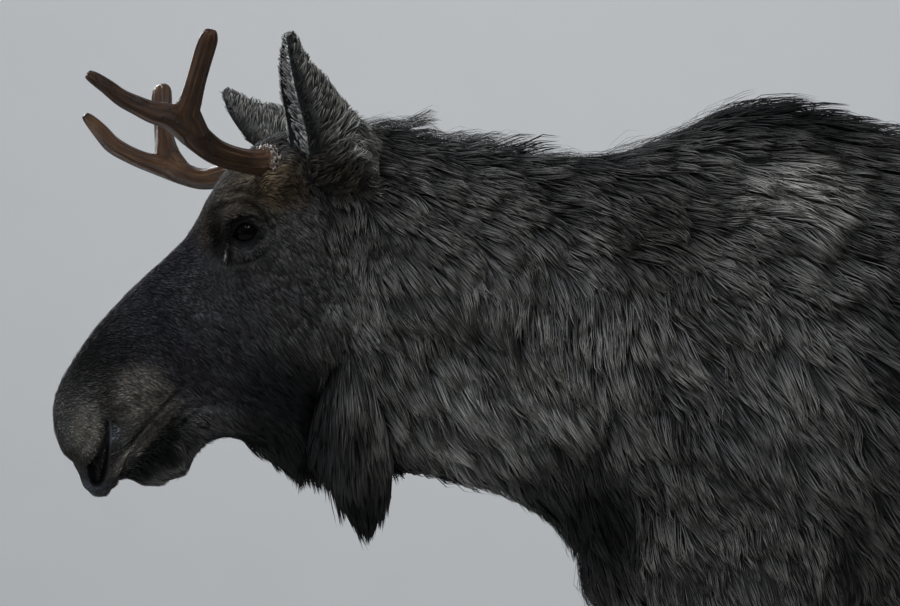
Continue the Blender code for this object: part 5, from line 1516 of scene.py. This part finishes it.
# Rings of a tuft: place along it, width, height, pull to its strand and to its lock
LONG = (
    (0.30, 1.0, 0.50, 0.12, 0.05),
    (0.68, 0.85, 0.92, 0.40, 0.16),
    (1.00, 0.0, 1.00, 0.62, 0.28),
)
SHORT = ((0.42, 1.0, 0.70, 0.15, 0.05), (1.00, 0.0, 1.00, 0.50, 0.20))


def style(stations, width, wobble, strand, lock, stray, curl, alike=0.7):
    """A manner of hair: rings, width, turn off the lie, tufts in a strand and in a
    lock, share of strays, curl, and how alike the tufts of a lock are."""
    return {
        "stations": stations, "width": width, "wobble": wobble, "strand": strand,
        "lock": lock, "stray": stray, "curl": curl, "alike": alike,
    }


FACE_HAIR = style(SHORT, 1.05, 0.09, 6, 26, 0.03, 0.02, 0.45)
NECK_HAIR = style(LONG, 0.80, 0.15, 7, 34, 0.05, 0.035, 0.7)
FLANK_HAIR = style(SHORT, 2.2, 0.14, 7, 30, 0.03, 0.03, 0.7)
# Pieces of the coat: from and to along the body, side, tufts, whether they follow the
# skin's curve, manner
COAT_PIECES = (
    ("coat_muzzle", -1.20, -0.84, 0, 24500, False, FACE_HAIR),
    ("coat_face_left", -0.84, -0.60, LEFT, 25500, False, FACE_HAIR),
    ("coat_face_right", -0.84, -0.60, RIGHT, 14000, False, FACE_HAIR),
    ("coat_neck_left", -0.60, -0.30, LEFT, 15900, True, NECK_HAIR),
    ("coat_neck_right", -0.60, -0.30, RIGHT, 8200, True, NECK_HAIR),
    ("coat_shoulder_left", -0.30, 0.00, LEFT, 14800, True, NECK_HAIR),
    ("coat_shoulder_right", -0.30, 0.00, RIGHT, 8200, True, NECK_HAIR),
    ("coat_withers_left", 0.00, 0.32, LEFT, 10600, True, NECK_HAIR),
    ("coat_withers_right", 0.00, 0.32, RIGHT, 6800, True, NECK_HAIR),
    ("coat_flank_left", 0.32, 1.60, LEFT, 11800, True, FLANK_HAIR),
    ("coat_flank_right", 0.32, 1.60, RIGHT, 11800, True, FLANK_HAIR),
)


def bare_places(points, eyes):
    """1 where no hair grows: in the eyes, the nostrils and along the mouth."""
    bare = np.zeros(len(points))
    for place in eyes:
        local = moved(points, place.inverted())
        near = np.linalg.norm(local, axis=1) < 0.06
        bare = np.maximum(bare, near * (1.0 - ramp(opening(local), 0.0030, 0.0050)))
    local = in_head(points)
    for flip in (list, mirrored):
        far, row = near_line(local, flip(NOSTRIL))
        bare = np.maximum(bare, 1.0 - ramp(far, row[:, 3] + 0.002, row[:, 3] + 0.005))
        far, row = near_line(local, flip(MOUTH_LINE))
        bare = np.maximum(bare, 1.0 - ramp(far, 0.003, 0.006))
    return bare


def skin_hair(piece, skin, eyes, home, draw):
    """One piece of the coat on the skin."""
    name, low, high, side, count, follow, manner = piece

    def weight(spots):
        place = spots[:, 0] + PIECE_SLANT * (spots[:, 2] - 1.5)
        share = (place >= low) & (place < high)
        share &= spots[:, 2] > LOWEST_HAIR
        if side:
            share &= spots[:, 1] * side >= 0.0
        if low < HEAD_BACK:
            share = share * (1.0 - bare_places(spots, eyes))
            for flank in (LEFT, RIGHT):
                burr = np.array(ANTLERS[flank][0][2][:3])
                share = share * (np.linalg.norm(spots - burr, axis=1) > BURR_BARE)
        share = share * (1.0 - on_bell(spots))
        return share * (0.5 + 0.5 * ramp(spots[:, 2], 0.60, 1.05))

    roots, outs = scatter(skin.data, count, weight, draw)
    lie = body_lie(roots, outs)
    colours = coat_colour(roots)
    surface = surface_of(skin) if follow else None
    return tufts(name, home, roots, outs, lie, colours, draw, surface, manner)


def on_bell(points):
    """1 on the bell and its root under the throat."""
    x, y, z = points.T
    edges = np.array(BELL_EDGES)
    front, back = (np.interp(z, edges[:, 0], edges[:, k]) for k in (1, 2))
    inside = np.minimum(x - front, back - x)
    inside = ramp(inside, -0.010, 0.004) * (1.0 - ramp(z, 1.405, 1.420))
    return inside * (np.abs(y) < 0.13)


def bell_hair(skin, home, draw):
    """Straight strands that fan out below the jaw and meet at the bell's tip."""
    tip = np.array(BELL_TIP)
    roots, outs = scatter(skin.data, BELL_TUFTS, on_bell, draw)
    outs = outs * (0.2, 1.0, 0.1)
    outs[:, 1] += np.where(roots[:, 1] < 0.0, -0.5, 0.5)
    outs = unit(outs)
    fan = (roots - BELL_TOP) * (1.0, 0.3, 1.0)
    home_in = (tip - roots) * (1.0, 1.5, 1.0)
    share = ramp(-roots[:, 2], -1.36, -1.20)[:, None]
    ways = unit(unit(fan) * (1.0 - share) + unit(home_in) * share)
    drop = np.linalg.norm(tip - roots, axis=1)
    length = np.clip(drop * draw.uniform(0.45, 1.00, len(roots)), *BELL_LENGTHS)
    lie = np.column_stack((ways, length, 0.002 + 0.08 * length))
    manner = style(LONG, 0.75, 0.05, 6, 30, 0.03, 0.02, 0.5)
    colours = coat_colour(roots)
    return tufts("coat_bell", home, roots, outs, lie, colours, draw, None, manner)


def ear_hair(item, side, home, draw):
    """Woolly hair outside an ear, pale fans in it, dark on its rim, curls behind."""
    base, along, ahead, across, reach = (np.array(value) for value in ear_axes(side))
    count = EAR_TUFTS[side]
    roots, outs = scatter(item.data, count, lambda spots: np.ones(len(spots)), draw)
    stations = np.array(EAR_STATIONS)
    off = roots - base
    place = off @ along / reach
    half, depth, lead, wrap = (
        np.interp(place, stations[:, 0], stations[:, k]) for k in (1, 2, 3, 4)
    )
    forward, sideways = off @ ahead - lead, off @ across
    inner = (outs @ ahead * forward + outs @ across * sideways) < 0.0
    angle = np.degrees(np.arctan2(np.abs(sideways) / half, -forward / depth))
    rim = ramp(angle - wrap, -20.0, -6.0) * (place > 0.15)
    rim = np.maximum(rim, ramp(place, 0.88, 0.97)) * np.where(inner, 0.3, 1.0)
    low = (1.0 - ramp(place, 0.16, 0.46)) * ~inner
    rear = ramp(-forward / depth, 0.0, 0.8) * low
    ways = along * np.where(inner, 0.95, 0.60)[:, None]
    ways = ways + ahead * np.where(inner, 0.32, -0.70)[:, None]
    ways = ways + (np.array((0.9, 0.0, -0.9)) - ways) * (rear * 0.8)[:, None]
    least, lower, behind = EAR_WOOL_LENGTHS
    length = np.where(inner, EAR_FAN_LENGTH, least + lower * low + behind * rear)
    length = length * (1.0 - 0.45 * rim)
    least, lower, behind = EAR_WOOL_LIFTS
    lift = np.where(inner, EAR_FAN_LIFT, least + lower * low + behind * rear)
    lie = np.column_stack((ways, length, lift * (1.0 - 0.60 * rim)))
    colours = np.where(inner[:, None], EAR_INSIDE, EAR_OUTSIDE)
    colours = colours + (np.array(EAR_FRIZZ) - colours) * rear[:, None]
    colours = colours + (np.array(EAR_RIM) - colours) * (rim * 0.95)[:, None]
    local = in_head(roots)
    foot = ramp(-local[:, 0] * 0.53 - local[:, 2], -1.375, -1.350)
    foot = (foot * (1.0 - ramp(local[:, 0], -0.580, -0.560)))[:, None]
    colours = colours + (np.array(EAR_FOOT) - colours) * foot
    made = []
    for name, mine, curl in (
        ("coat_ear_", ~inner & (low < 0.5), 0.03),
        ("ear_fans_", inner, 0.015),
        ("curls_", low >= 0.5, 0.14),
    ):
        manner = style(LONG, 1.2, 0.10 + curl, 6, 22, 0.04, curl, 0.25 + 3.0 * curl)
        picked = [values[mine] for values in (roots, outs, lie, colours)]
        made.append(tufts(name + SIDE_NAMES[side], home, *picked, draw, None, manner))
    return made


def lashes(place, side, skin_tree, home, draw):
    """A row of lashes along the upper lid."""
    share = np.linspace(-0.85, 0.95, LASHES)
    x = share * LID_HALF_LENGTH - LID_AHEAD
    y = UPPER_LID * (1.0 - np.abs(share) ** 2.2) + LASHES_UP
    local = np.column_stack((x, y, np.full(LASHES, EYE_RADIUS)))
    local += draw.normal(0.0, 0.0005, local.shape)
    roots, outs = resting(moved(local, place), skin_tree)
    down = np.column_stack((share * 0.5, np.full(LASHES, 0.60), np.full(LASHES, 0.7)))
    ways = down @ np.array(place)[:3, :3].T
    lie = np.column_stack((ways, np.tile(LASH_LENGTH_LIFT, (LASHES, 1))))
    colours = np.tile(LASH_COLOUR, (LASHES, 1))
    manner = style(LONG, 0.7, 0.12, 3, 9, 0.0, 0.01)
    name = "lashes_" + SIDE_NAMES[side]
    return tufts(name, home, roots, outs, lie, colours, draw, None, manner)


def grow_coat(skin, ears, eyes, home):
    """All the hair, in pieces."""
    draw = np.random.default_rng(COAT_SEED)
    made = [skin_hair(piece, skin, eyes, home, draw) for piece in COAT_PIECES]
    made.append(bell_hair(skin, home, draw))
    tree = surface_of(skin)
    for side, place, lobe in zip((LEFT, RIGHT), eyes, ears):
        made += ear_hair(lobe, side, home, draw)
        made.append(lashes(place, side, tree, home, draw))
    return made


def bring_eyes(stand):
    """Axes at both eyeballs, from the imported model."""
    places = []
    for side in (LEFT, RIGHT):
        low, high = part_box("eye_" + SIDE_NAMES[side])
        middle = (Vector(low) + Vector(high)) / 2 - stand
        places.append(eye_axes(side, middle))
    return places


def eyeball(name, place, home):
    """A smooth ball, with how far each point lies along the lids and above them."""
    shape = bmesh.new()
    bmesh.ops.create_uvsphere(shape, u_segments=56, v_segments=40, radius=EYE_RADIUS)
    bmesh.ops.transform(shape, matrix=place, verts=shape.verts)
    item = object_from(name, shape, home)
    local = moved(coordinates(item.data), place.inverted()) / EYE_RADIUS
    give(item.data, "along", local[:, 0])
    give(item.data, "up", local[:, 1])
    return item


def antler(name, side, home):
    """Beam and two tines as one surface, with ridges along it and a rough burr."""
    forms = [tube(name, home, rows, sides=6, pace=10) for rows in ANTLERS[side]]
    item = joined(name, forms, home)
    fuse(item, ANTLER_VOXEL)
    ease(item.data, ANTLER_EASE_ROUNDS)
    points, outs = coordinates(item.data), normals(item.data)
    burr = np.array(ANTLERS[side][0][2][:3])
    line = []
    for number, rows in enumerate(ANTLERS[side]):
        steps = (len(rows) - 1) * 8 + 1
        fine = smooth_curve(rows, np.linspace(0.0, len(rows) - 1.0, steps))[:, :3]
        ahead = unit(np.gradient(fine, axis=0))
        reach = np.append(0.0, np.cumsum(np.linalg.norm(np.diff(fine, axis=0), axis=1)))
        upright = unit(np.cross(ahead, (0.0, 1.0, 0.3)))
        sideways = np.cross(ahead, upright)
        far = reach[:, None] * 6.0 + number * 3.0
        line.append(np.column_stack((fine, upright, sideways, far)))
    line = np.vstack(line)
    row = line[nearest(line[:, :3], points)]
    off = points - row[:, :3]
    flat = unit(np.column_stack(((off * row[:, 3:6]).sum(1), (off * row[:, 6:9]).sum(1))))
    grain = np.column_stack((flat, row[:, 9]))
    angle = np.arctan2(grain[:, 1], grain[:, 0])
    ridge = np.sin(angle * 9 + grain[:, 2] * 1.7)
    ridge = ridge + 0.7 * np.sin(angle * 15 - grain[:, 2] * 2.3)
    way = np.array(ANTLERS[side][0][3][:3]) - burr
    beyond = (points - burr) @ (way / np.linalg.norm(way)) - 0.004
    near = 1.0 - ramp(np.abs(beyond), 0.005, 0.013)
    near *= 1.0 - ramp(np.linalg.norm(points - burr, axis=1), 0.036, 0.046)
    x, y, z = points.T
    pearl = np.sin(x * 700) * np.sin(y * 640) * np.sin(z * 680)
    rise = near * (BURR_HEIGHT + pearl * PEARL_HEIGHT)
    rise = ridge * RIDGE_HEIGHT * (1.0 - near) + rise
    points += outs * rise[:, None]
    move_to(item.data, points)
    give(item.data, "grain", grain, "FLOAT_VECTOR")
    give(item.data, "burr", near)
    return smooth(item)


def ear_axes(side):
    """Base, ways along, ahead and across, and length of an ear."""
    base, tip, opening_way = (Vector(v) for v in EARS[side])
    along = (tip - base).normalized()
    ahead = (opening_way - along * opening_way.dot(along)).normalized()
    return base, along, ahead, along.cross(ahead), (tip - base).length


def ear(name, side, home):
    """A leaf-shaped cup: a tube at its base that opens towards the tip."""
    base, along, ahead, across, reach = ear_axes(side)
    places = np.linspace(0, len(EAR_STATIONS) - 1, EAR_RINGS)
    stations = smooth_curve(EAR_STATIONS, places)
    sections = []
    for place, half, depth, lead, wrap in stations:
        ring = []
        for inner in (False, True):
            thin = min(EAR_WALL * 0.8, half * 0.45) if inner else 0.0
            angles = np.radians(np.linspace(-wrap, wrap, EAR_ROW))
            for angle in angles[::-1] if inner else angles:
                forward = lead - (depth - thin) * math.cos(angle)
                sideways = (half - thin) * math.sin(angle)
                spot = base + along * reach * place + ahead * forward
                ring.append(spot + across * sideways)
        sections.append(ring)
    item = lofted(name, home, sections)
    inner = np.tile(np.repeat((0.0, 1.0), EAR_ROW), len(sections))
    rim = np.abs(np.linspace(-1.0, 1.0, EAR_ROW))
    rim = np.tile(ramp(np.concatenate((rim, rim)), 0.78, 0.92), len(sections))
    give(item.data, "inner", inner)
    give(item.data, "rim", rim)
    return smooth(item)


def claw(name, pair, side, outer, home):
    """One half of a hoof, flat below."""
    heel_x, middle = CLAW_HEEL[pair]
    heel_x += LEG_STEP[pair, side]
    middle = (middle + CLAW_SPREAD * outer) * side
    ring = np.array(CLAW_RING + CLAW_RING[:1])
    round_it = smooth_curve(ring[1:], np.linspace(0, 6, 25))
    flat = np.column_stack((np.linspace(-0.94, 0.94, 9)[1:-1], np.zeros(7)))
    ring = np.vstack((round_it, flat))
    ring[:, 1] = np.clip(ring[:, 1], 0.0, 1.0)
    stations = smooth_curve(CLAW_STATIONS, np.linspace(0, len(CLAW_STATIONS) - 1, 31))
    sections = []
    for distance, half, height in stations:
        drift = CLAW_DRIFT * distance * outer * side
        top = min(height, CLAW_TOP - CLAW_SLOPE * (distance - CLAW_TOP_PLACE))
        sections.append(
            [(heel_x - distance, middle + drift + half * a, top * up) for a, up in ring]
        )
    return smooth(lofted(name, home, sections))


def dewclaw(name, pair, side, outer, home):
    """A small horn ball behind the leg, above the hoof."""
    x, middle, z = DEWCLAW[pair]
    spot = (x + LEG_STEP[pair, side], (middle + DEWCLAW_SPREAD * outer) * side, z)
    return smooth(ellipsoid(name, home, spot, DEWCLAW_HALF, DEWCLAW_TURN))


BLACK = (0.0, 0.0, 0.0)
WHITE = (1.0, 1.0, 1.0)
# Stops of colour: place, red, green, blue
EYE_STOPS = (
    (0.0, 0.0026, 0.0015, 0.0010),
    (0.66, 0.0018, 0.0011, 0.0008),
    (0.74, 0.0006, 0.0005, 0.0005),
)
ANTLER_STOPS = (
    (0.34, 0.0020, 0.0008, 0.0003),
    (0.54, 0.040, 0.0150, 0.0036),
    (0.72, 0.120, 0.060, 0.020),
)
HOOF_STOPS = ((0.3, 0.012, 0.010, 0.009), (0.7, 0.050, 0.042, 0.034))


class Amount:
    """A socket that can stand in a sum, which adds the Math nodes it takes."""

    def __init__(self, finish, socket):
        self.finish = finish
        self.socket = socket

    def sum(self, operation, one, other):
        sockets = {0: one, 1: other}
        return self.finish.node("ShaderNodeMath", {"operation": operation}, sockets)

    def __add__(self, other):
        return self.sum("ADD", self, other)

    __radd__ = __add__

    def __mul__(self, other):
        return self.sum("MULTIPLY", self, other)

    __rmul__ = __mul__

    def __sub__(self, other):
        return self.sum("SUBTRACT", self, other)

    def __rsub__(self, other):
        return self.sum("SUBTRACT", other, self)

    def __pow__(self, other):
        return self.sum("POWER", self, other)


def set_stops(elements, stops):
    """A ramp's stops, each of place, red, green and blue."""
    for index, (place, *colour) in enumerate(stops):
        if index > 1:
            elements.new(place)
        elements[index].position = place
        elements[index].color = (*colour, 1.0)


class Finish:
    """A material in the making."""

    def __init__(self, name, **constants):
        self.material = bpy.data.materials.new(name)
        self.material.use_nodes = True
        self.tree = self.material.node_tree
        self.shader = self.tree.nodes["Principled BSDF"]
        for title, value in constants.items():
            self.shader.inputs[title.replace("_", " ")].default_value = value

    def node(self, kind, settings, sockets, output=0):
        """A node of a kind: its settings are set first, then its sockets."""
        made = self.tree.nodes.new(kind)
        for title, value in settings.items():
            if title == "stops":
                set_stops(made.color_ramp.elements, value)
            else:
                setattr(made, title, value)
        for title, value in sockets.items():
            self.feed(made.inputs[title], value)
        return Amount(self, made.outputs[output])

    def feed(self, socket, value):
        if isinstance(value, Amount):
            self.tree.links.new(value.socket, socket)
        else:
            socket.default_value = value

    def put(self, title, value):
        self.feed(self.shader.inputs[title], value)

    def attribute(self, name, output="Fac"):
        return self.node("ShaderNodeAttribute", {"attribute_name": name}, {}, output)

    def place(self):
        return self.node("ShaderNodeTexCoord", {}, {}, "Object")

    def noise(self, scale, detail=3.0, where=None, stretch=(1.0, 1.0, 1.0)):
        where = self.place() if where is None else where
        where = self.node("ShaderNodeMapping", {}, {"Vector": where, "Scale": stretch})
        sockets = {"Vector": where, "Scale": scale, "Detail": detail}
        return self.node("ShaderNodeTexNoise", {}, sockets)

    def blend(self, share, one, other, kind="MIX"):
        settings = {"data_type": "RGBA", "blend_type": kind}
        return self.node("ShaderNodeMix", settings, {0: share, 6: one, 7: other}, 2)

    def times(self, one, other):
        """Two colours multiplied."""
        return self.blend(1.0, one, other, "MULTIPLY")

    def grey(self, light):
        """A grey as light as the amount."""
        return self.node("ShaderNodeCombineColor", {}, {0: light, 1: light, 2: light})

    def ramped(self, value, *stops):
        """The colour at the value between the stops."""
        return self.node("ShaderNodeValToRGB", {"stops": stops}, {0: value})

    def bump(self, height, distance, strength):
        sockets = {"Height": height, "Distance": distance, "Strength": strength}
        self.put("Normal", self.node("ShaderNodeBump", {}, sockets))


def hair_finish(name="long_hair", root=0.10, end=2.7, spread=0.78, fine=1.6):
    """Hair, dark at its root and grey at its tip, with tufts lighter and darker."""
    paint = Finish(name, Specular_IOR_Level=0.12)
    marking = paint.attribute("marking", "Color")
    tip = paint.attribute("tip")
    shade = paint.attribute("shade")
    across = paint.attribute("across")
    where = {0: across * 3.5 + shade * 57.0, 1: tip * 1.6, 2: shade * 131.0}
    hairs = paint.noise(1.0, 2.0, paint.node("ShaderNodeCombineXYZ", {}, where))
    light = root + (end - root) * tip ** 1.3
    light = light * ((1.0 - spread) + shade * (2.0 * spread))
    light = light * ((1.0 - fine / 2) + fine * hairs) * (0.75 + 0.5 * paint.noise(9.0))
    colour = paint.times(marking, paint.grey(light))
    warm = paint.times(colour, (1.10, 1.0, 0.84, 1.0))
    cool = paint.times(colour, (0.94, 1.0, 1.08, 1.0))
    paint.put("Base Color", paint.blend(hairs * 0.6 + tip * 0.5 - 0.1, cool, warm))
    paint.put("Roughness", 0.66 - 0.12 * tip)
    return paint.material


def skin_finish():
    """Skin under the hair, streaked as the coat is, bare on nose and lids; black painted shade
    in nostrils and mouth.
    """
    paint = Finish("skin", Specular_IOR_Level=0.05)
    marking = paint.attribute("marking", "Color")
    bare = paint.attribute("bare")
    hollow = paint.attribute("hollow")
    streak = paint.noise(260.0, 4.0)
    patch = paint.noise(22.0, 3.0)
    haired = paint.times(marking, paint.grey(0.20 + 0.45 * streak + 0.25 * patch))
    dark = paint.times(marking, (0.10, 0.10, 0.12, 1.0))
    pale = paint.times(marking, (0.40, 0.44, 0.52, 1.0))
    naked = paint.blend(patch, dark, pale)
    seen = paint.blend(bare, haired, naked)
    # painted shade: near black inside the nostrils and along the mouth line
    paint.put("Base Color", paint.blend(hollow, seen, (0.0008, 0.0007, 0.0007, 1.0)))
    paint.put("Roughness", 0.75 - bare * 0.30 + streak * 0.1)
    paint.bump(streak + paint.noise(900.0, 2.0) * 0.4, 0.0008, 0.6)
    return paint.material


def eye_finish():
    """A near black eye with a brown ring and a wide, dark pupil."""
    paint = Finish("eye", IOR=1.38, Specular_IOR_Level=0.045)
    along, up = paint.attribute("along"), paint.attribute("up")
    off = (along * along + up * up) ** 0.5
    pupil = (along * along * 2.4 + up * up * 9.0) ** 0.5
    iris = paint.ramped(pupil, (0.0, *BLACK), (0.62, *BLACK), (0.74, *WHITE))
    ring = paint.ramped(off, *EYE_STOPS)
    fleck = paint.noise(700.0, 3.0)
    brown = paint.blend(fleck, ring, (0.0016, 0.0010, 0.0008, 1.0))
    paint.put("Base Color", paint.blend(iris, (0.0004, 0.0004, 0.0006, 1.0), brown))
    paint.put("Roughness", 0.04 + 0.03 * fleck)
    paint.put("Coat Weight", 0.02 + 0.02 * fleck)
    return paint.material


def antler_finish():
    """Brown horn with dark grooves along its grain and pale bits at the burr."""
    paint = Finish("antler", IOR=1.5, Specular_IOR_Level=0.35)
    grain = paint.attribute("grain", "Vector")
    burr = paint.attribute("burr")
    line = paint.noise(5.0, 6.0, grain, (3.0, 3.0, 0.35))
    fine = paint.noise(16.0, 4.0, grain, (3.0, 3.0, 0.25))
    patch = paint.noise(26.0, 4.0)
    colour = paint.ramped(line * 0.6 + patch * 0.4, *ANTLER_STOPS)
    speck = paint.noise(260.0, 3.0) * 0.9 + burr * 0.24
    bits = paint.ramped(speck, (0.66, *BLACK), (0.78, *WHITE))
    paint.put("Base Color", paint.blend(bits, colour, (0.26, 0.24, 0.22, 1.0)))
    paint.put("Roughness", 0.18 + 0.24 * patch)
    paint.bump(line + fine * 0.6 + burr * paint.noise(300.0, 3.0), 0.0030, 0.9)
    return paint.material


def hoof_finish():
    """Dark horn with faint rings round it."""
    paint = Finish("hoof", IOR=1.5)
    rings = paint.noise(30.0, 3.0, None, (0.6, 0.6, 5.0))
    patch = paint.noise(40.0, 3.0)
    paint.put("Base Color", paint.ramped(rings * 0.6 + patch * 0.4, *HOOF_STOPS))
    paint.put("Roughness", 0.38 + 0.25 * patch)
    paint.bump(rings, 0.0015, 0.8)
    return paint.material


def ear_finish():
    """The ear under its hair: dark behind, pale in the cup, black on the rim."""
    paint = Finish("ear", Specular_IOR_Level=0.15)
    inner = paint.attribute("inner")
    rim = paint.attribute("rim")
    streak = paint.noise(300.0, 3.0)
    patch = paint.noise(30.0, 3.0)
    share = streak * 0.5 + patch * 0.5
    back = paint.blend(share, (0.016, 0.015, 0.014, 1.0), (0.050, 0.047, 0.044, 1.0))
    cup = paint.blend(share, (0.090, 0.088, 0.086, 1.0), (0.170, 0.168, 0.165, 1.0))
    colour = paint.blend(rim, paint.blend(inner, back, cup), (0.005, 0.005, 0.005, 1.0))
    paint.put("Base Color", colour)
    paint.put("Roughness", 0.7 + 0.2 * patch)
    paint.bump(streak, 0.001, 0.6)
    return paint.material


def studio_finish(name, colour):
    """Matt paint, a little uneven."""
    paint = Finish(name, Roughness=0.9)
    darker = [part * 0.96 for part in colour]
    colour = paint.blend(paint.noise(1.5, 2.0), (*darker, 1.0), (*colour, 1.0))
    paint.put("Base Color", colour)
    return paint.material


def light(name, place, aim, size, power, colour, mirrors):
    """A round lamp that shines from its place to its aim."""
    lamp = bpy.data.lights.new(name, "AREA")
    lamp.shape = "DISK"
    lamp.size = size
    lamp.energy = power
    lamp.color = colour
    item = bpy.data.objects.new(name, lamp)
    item.location = place
    way = Vector(aim) - Vector(place)
    item.rotation_euler = way.to_track_quat("-Z", "Y").to_euler()
    item.visible_glossy = mirrors
    bpy.context.scene.collection.objects.link(item)


def sheet(name, size, turn, colour):
    """A flat square for the studio."""
    home = bpy.context.scene.collection
    shape = bmesh.new()
    bmesh.ops.create_grid(shape, x_segments=8, y_segments=8, size=size)
    bmesh.ops.transform(shape, matrix=turn, verts=shape.verts)
    item = object_from(name, shape, home)
    item.data.materials.append(studio_finish(name, colour))
    return item


def studio(stand):
    """Camera, pale floor and backdrop, and soft light."""
    scene = bpy.context.scene
    scene.view_settings.view_transform = "Standard"
    centre = CAMERA_AIM + stand
    facing = Vector((0.0, math.cos(CAMERA_DROP), math.sin(CAMERA_DROP)))
    lens = bpy.data.cameras.new("camera")
    lens.sensor_width = SENSOR_WIDTH
    lens.lens = SENSOR_WIDTH * CAMERA_DISTANCE / (PICTURE_WIDTH / PIXELS_PER_METRE)
    lens.clip_start = 0.1
    camera = bpy.data.objects.new("camera", lens)
    camera.location = centre - facing * CAMERA_DISTANCE
    camera.rotation_euler = facing.to_track_quat("-Z", "Y").to_euler()
    scene.collection.objects.link(camera)
    scene.camera = camera

    floor = sheet("floor", FLOOR_REACH, Matrix.Identity(4), FLOOR_COLOUR)
    upright = Matrix.Rotation(math.radians(90), 4, "X")
    upright = Matrix.Translation((0.0, BACKDROP_Y, 0.0)) @ upright
    backdrop = sheet("backdrop", BACKDROP_REACH, upright, BACKDROP_COLOUR)
    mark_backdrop(floor, backdrop)

    world = bpy.data.worlds.new("room")
    world.use_nodes = True
    room = world.node_tree.nodes["Background"].inputs
    room["Color"].default_value = ROOM_COLOUR
    room["Strength"].default_value = ROOM_STRENGTH
    scene.world = world
    for name, settings in LIGHTS.items():
        light(name, *settings)


def finished(item, material, slot, stand, *nodes):
    """Gives a piece its finish and its place, and hides the parts it stands for."""
    item.data.materials.clear()
    item.data.materials.append(material)
    item.data.transform(Matrix.Translation(stand))
    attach(item, "root")
    if nodes:
        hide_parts(*nodes)


def paint_skin(mesh, eyes):
    """Coat markings with painted shade and highlight, bareness, and painted shade in nostrils
    and mouth line.
    """
    points = coordinates(mesh)
    colour = np.column_stack((coat_colour(points), np.ones(len(points))))
    give(mesh, "marking", colour, "FLOAT_COLOR")
    give(mesh, "bare", bare_places(points, eyes))
    # painted shade: 1 inside the nostrils and along the mouth line
    hollow = np.zeros(len(points))
    local = in_head(points)
    for flip in (list, mirrored):
        for rows, reach in ((NOSTRIL, 1.0), (MOUTH_LINE, 1.2)):
            far, row = near_line(local, flip(rows))
            half = row[:, 3] * reach * 1.1
            hollow = np.maximum(hollow, 1.0 - ramp(far, half, half * 1.2 + 0.003))
    give(mesh, "hollow", hollow)


def main():
    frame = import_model()
    packed_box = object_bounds()
    home = bpy.context.scene.collection
    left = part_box("hoof_fore_left_inner")
    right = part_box("hoof_fore_right_inner")
    stand = Vector((left[0][0] + TOE_AHEAD, (left[0][1] + right[1][1]) / 2, 0.0))
    studio(stand)
    eyes = bring_eyes(stand)
    skin = make_skin(home, eyes)
    paint_skin(skin.data, eyes)
    ears = [ear("soft_ear_" + SIDE_NAMES[side], side, home) for side in (LEFT, RIGHT)]
    flesh = [
        name for name in frame["nodes"]
        if name in ("head", "neck", "torso", "tail", "bell") or "leg_" in name
    ]
    hair = hair_finish()
    wool = hair_finish("ear_hair", 0.14, 2.0, 0.80, 1.40)
    lining = hair_finish("ear_lining", 0.80, 1.5, 0.22, 0.80)
    for piece in grow_coat(skin, ears, eyes, home):
        look = wool if piece.name.startswith(("coat_ear", "curls")) else hair
        look = lining if piece.name.startswith("ear_fans") else look
        finished(piece, look, "coat", stand)
    finished(skin, skin_finish(), "coat", stand, *flesh)
    eye_paint, bone, horn = eye_finish(), antler_finish(), hoof_finish()
    ear_paint = ear_finish()
    for side, place, lobe in zip((LEFT, RIGHT), eyes, ears):
        word = SIDE_NAMES[side]
        ball = eyeball("smooth_eye_" + word, place, home)
        finished(ball, eye_paint, "eye", stand, "eye_" + word)
        horned = antler("ridged_antler_" + word, side, home)
        nodes = [f"antler_{word}_{part}" for part in ("beam", "front_tine", "rear_tine")]
        finished(horned, bone, "antler", stand, *nodes)
        finished(lobe, ear_paint, "pale_coat", stand, "ear_" + word)
        for pair in ("fore", "hind"):
            for outer, inward in ((-1, "inner"), (1, "outer")):
                tail = f"{pair}_{word}_{inward}"
                toe = claw("horn_" + tail, pair, side, outer, home)
                finished(toe, horn, "hoof", stand, "hoof_" + tail)
                spur = dewclaw("spur_" + tail, pair, side, outer, home)
                finished(spur, horn, "hoof", stand, "dewclaw_" + tail)
    boxes = {"packed": packed_box, "dressed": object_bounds()}
    boxes = {name: [list(corner) for corner in box] for name, box in boxes.items()}


main()
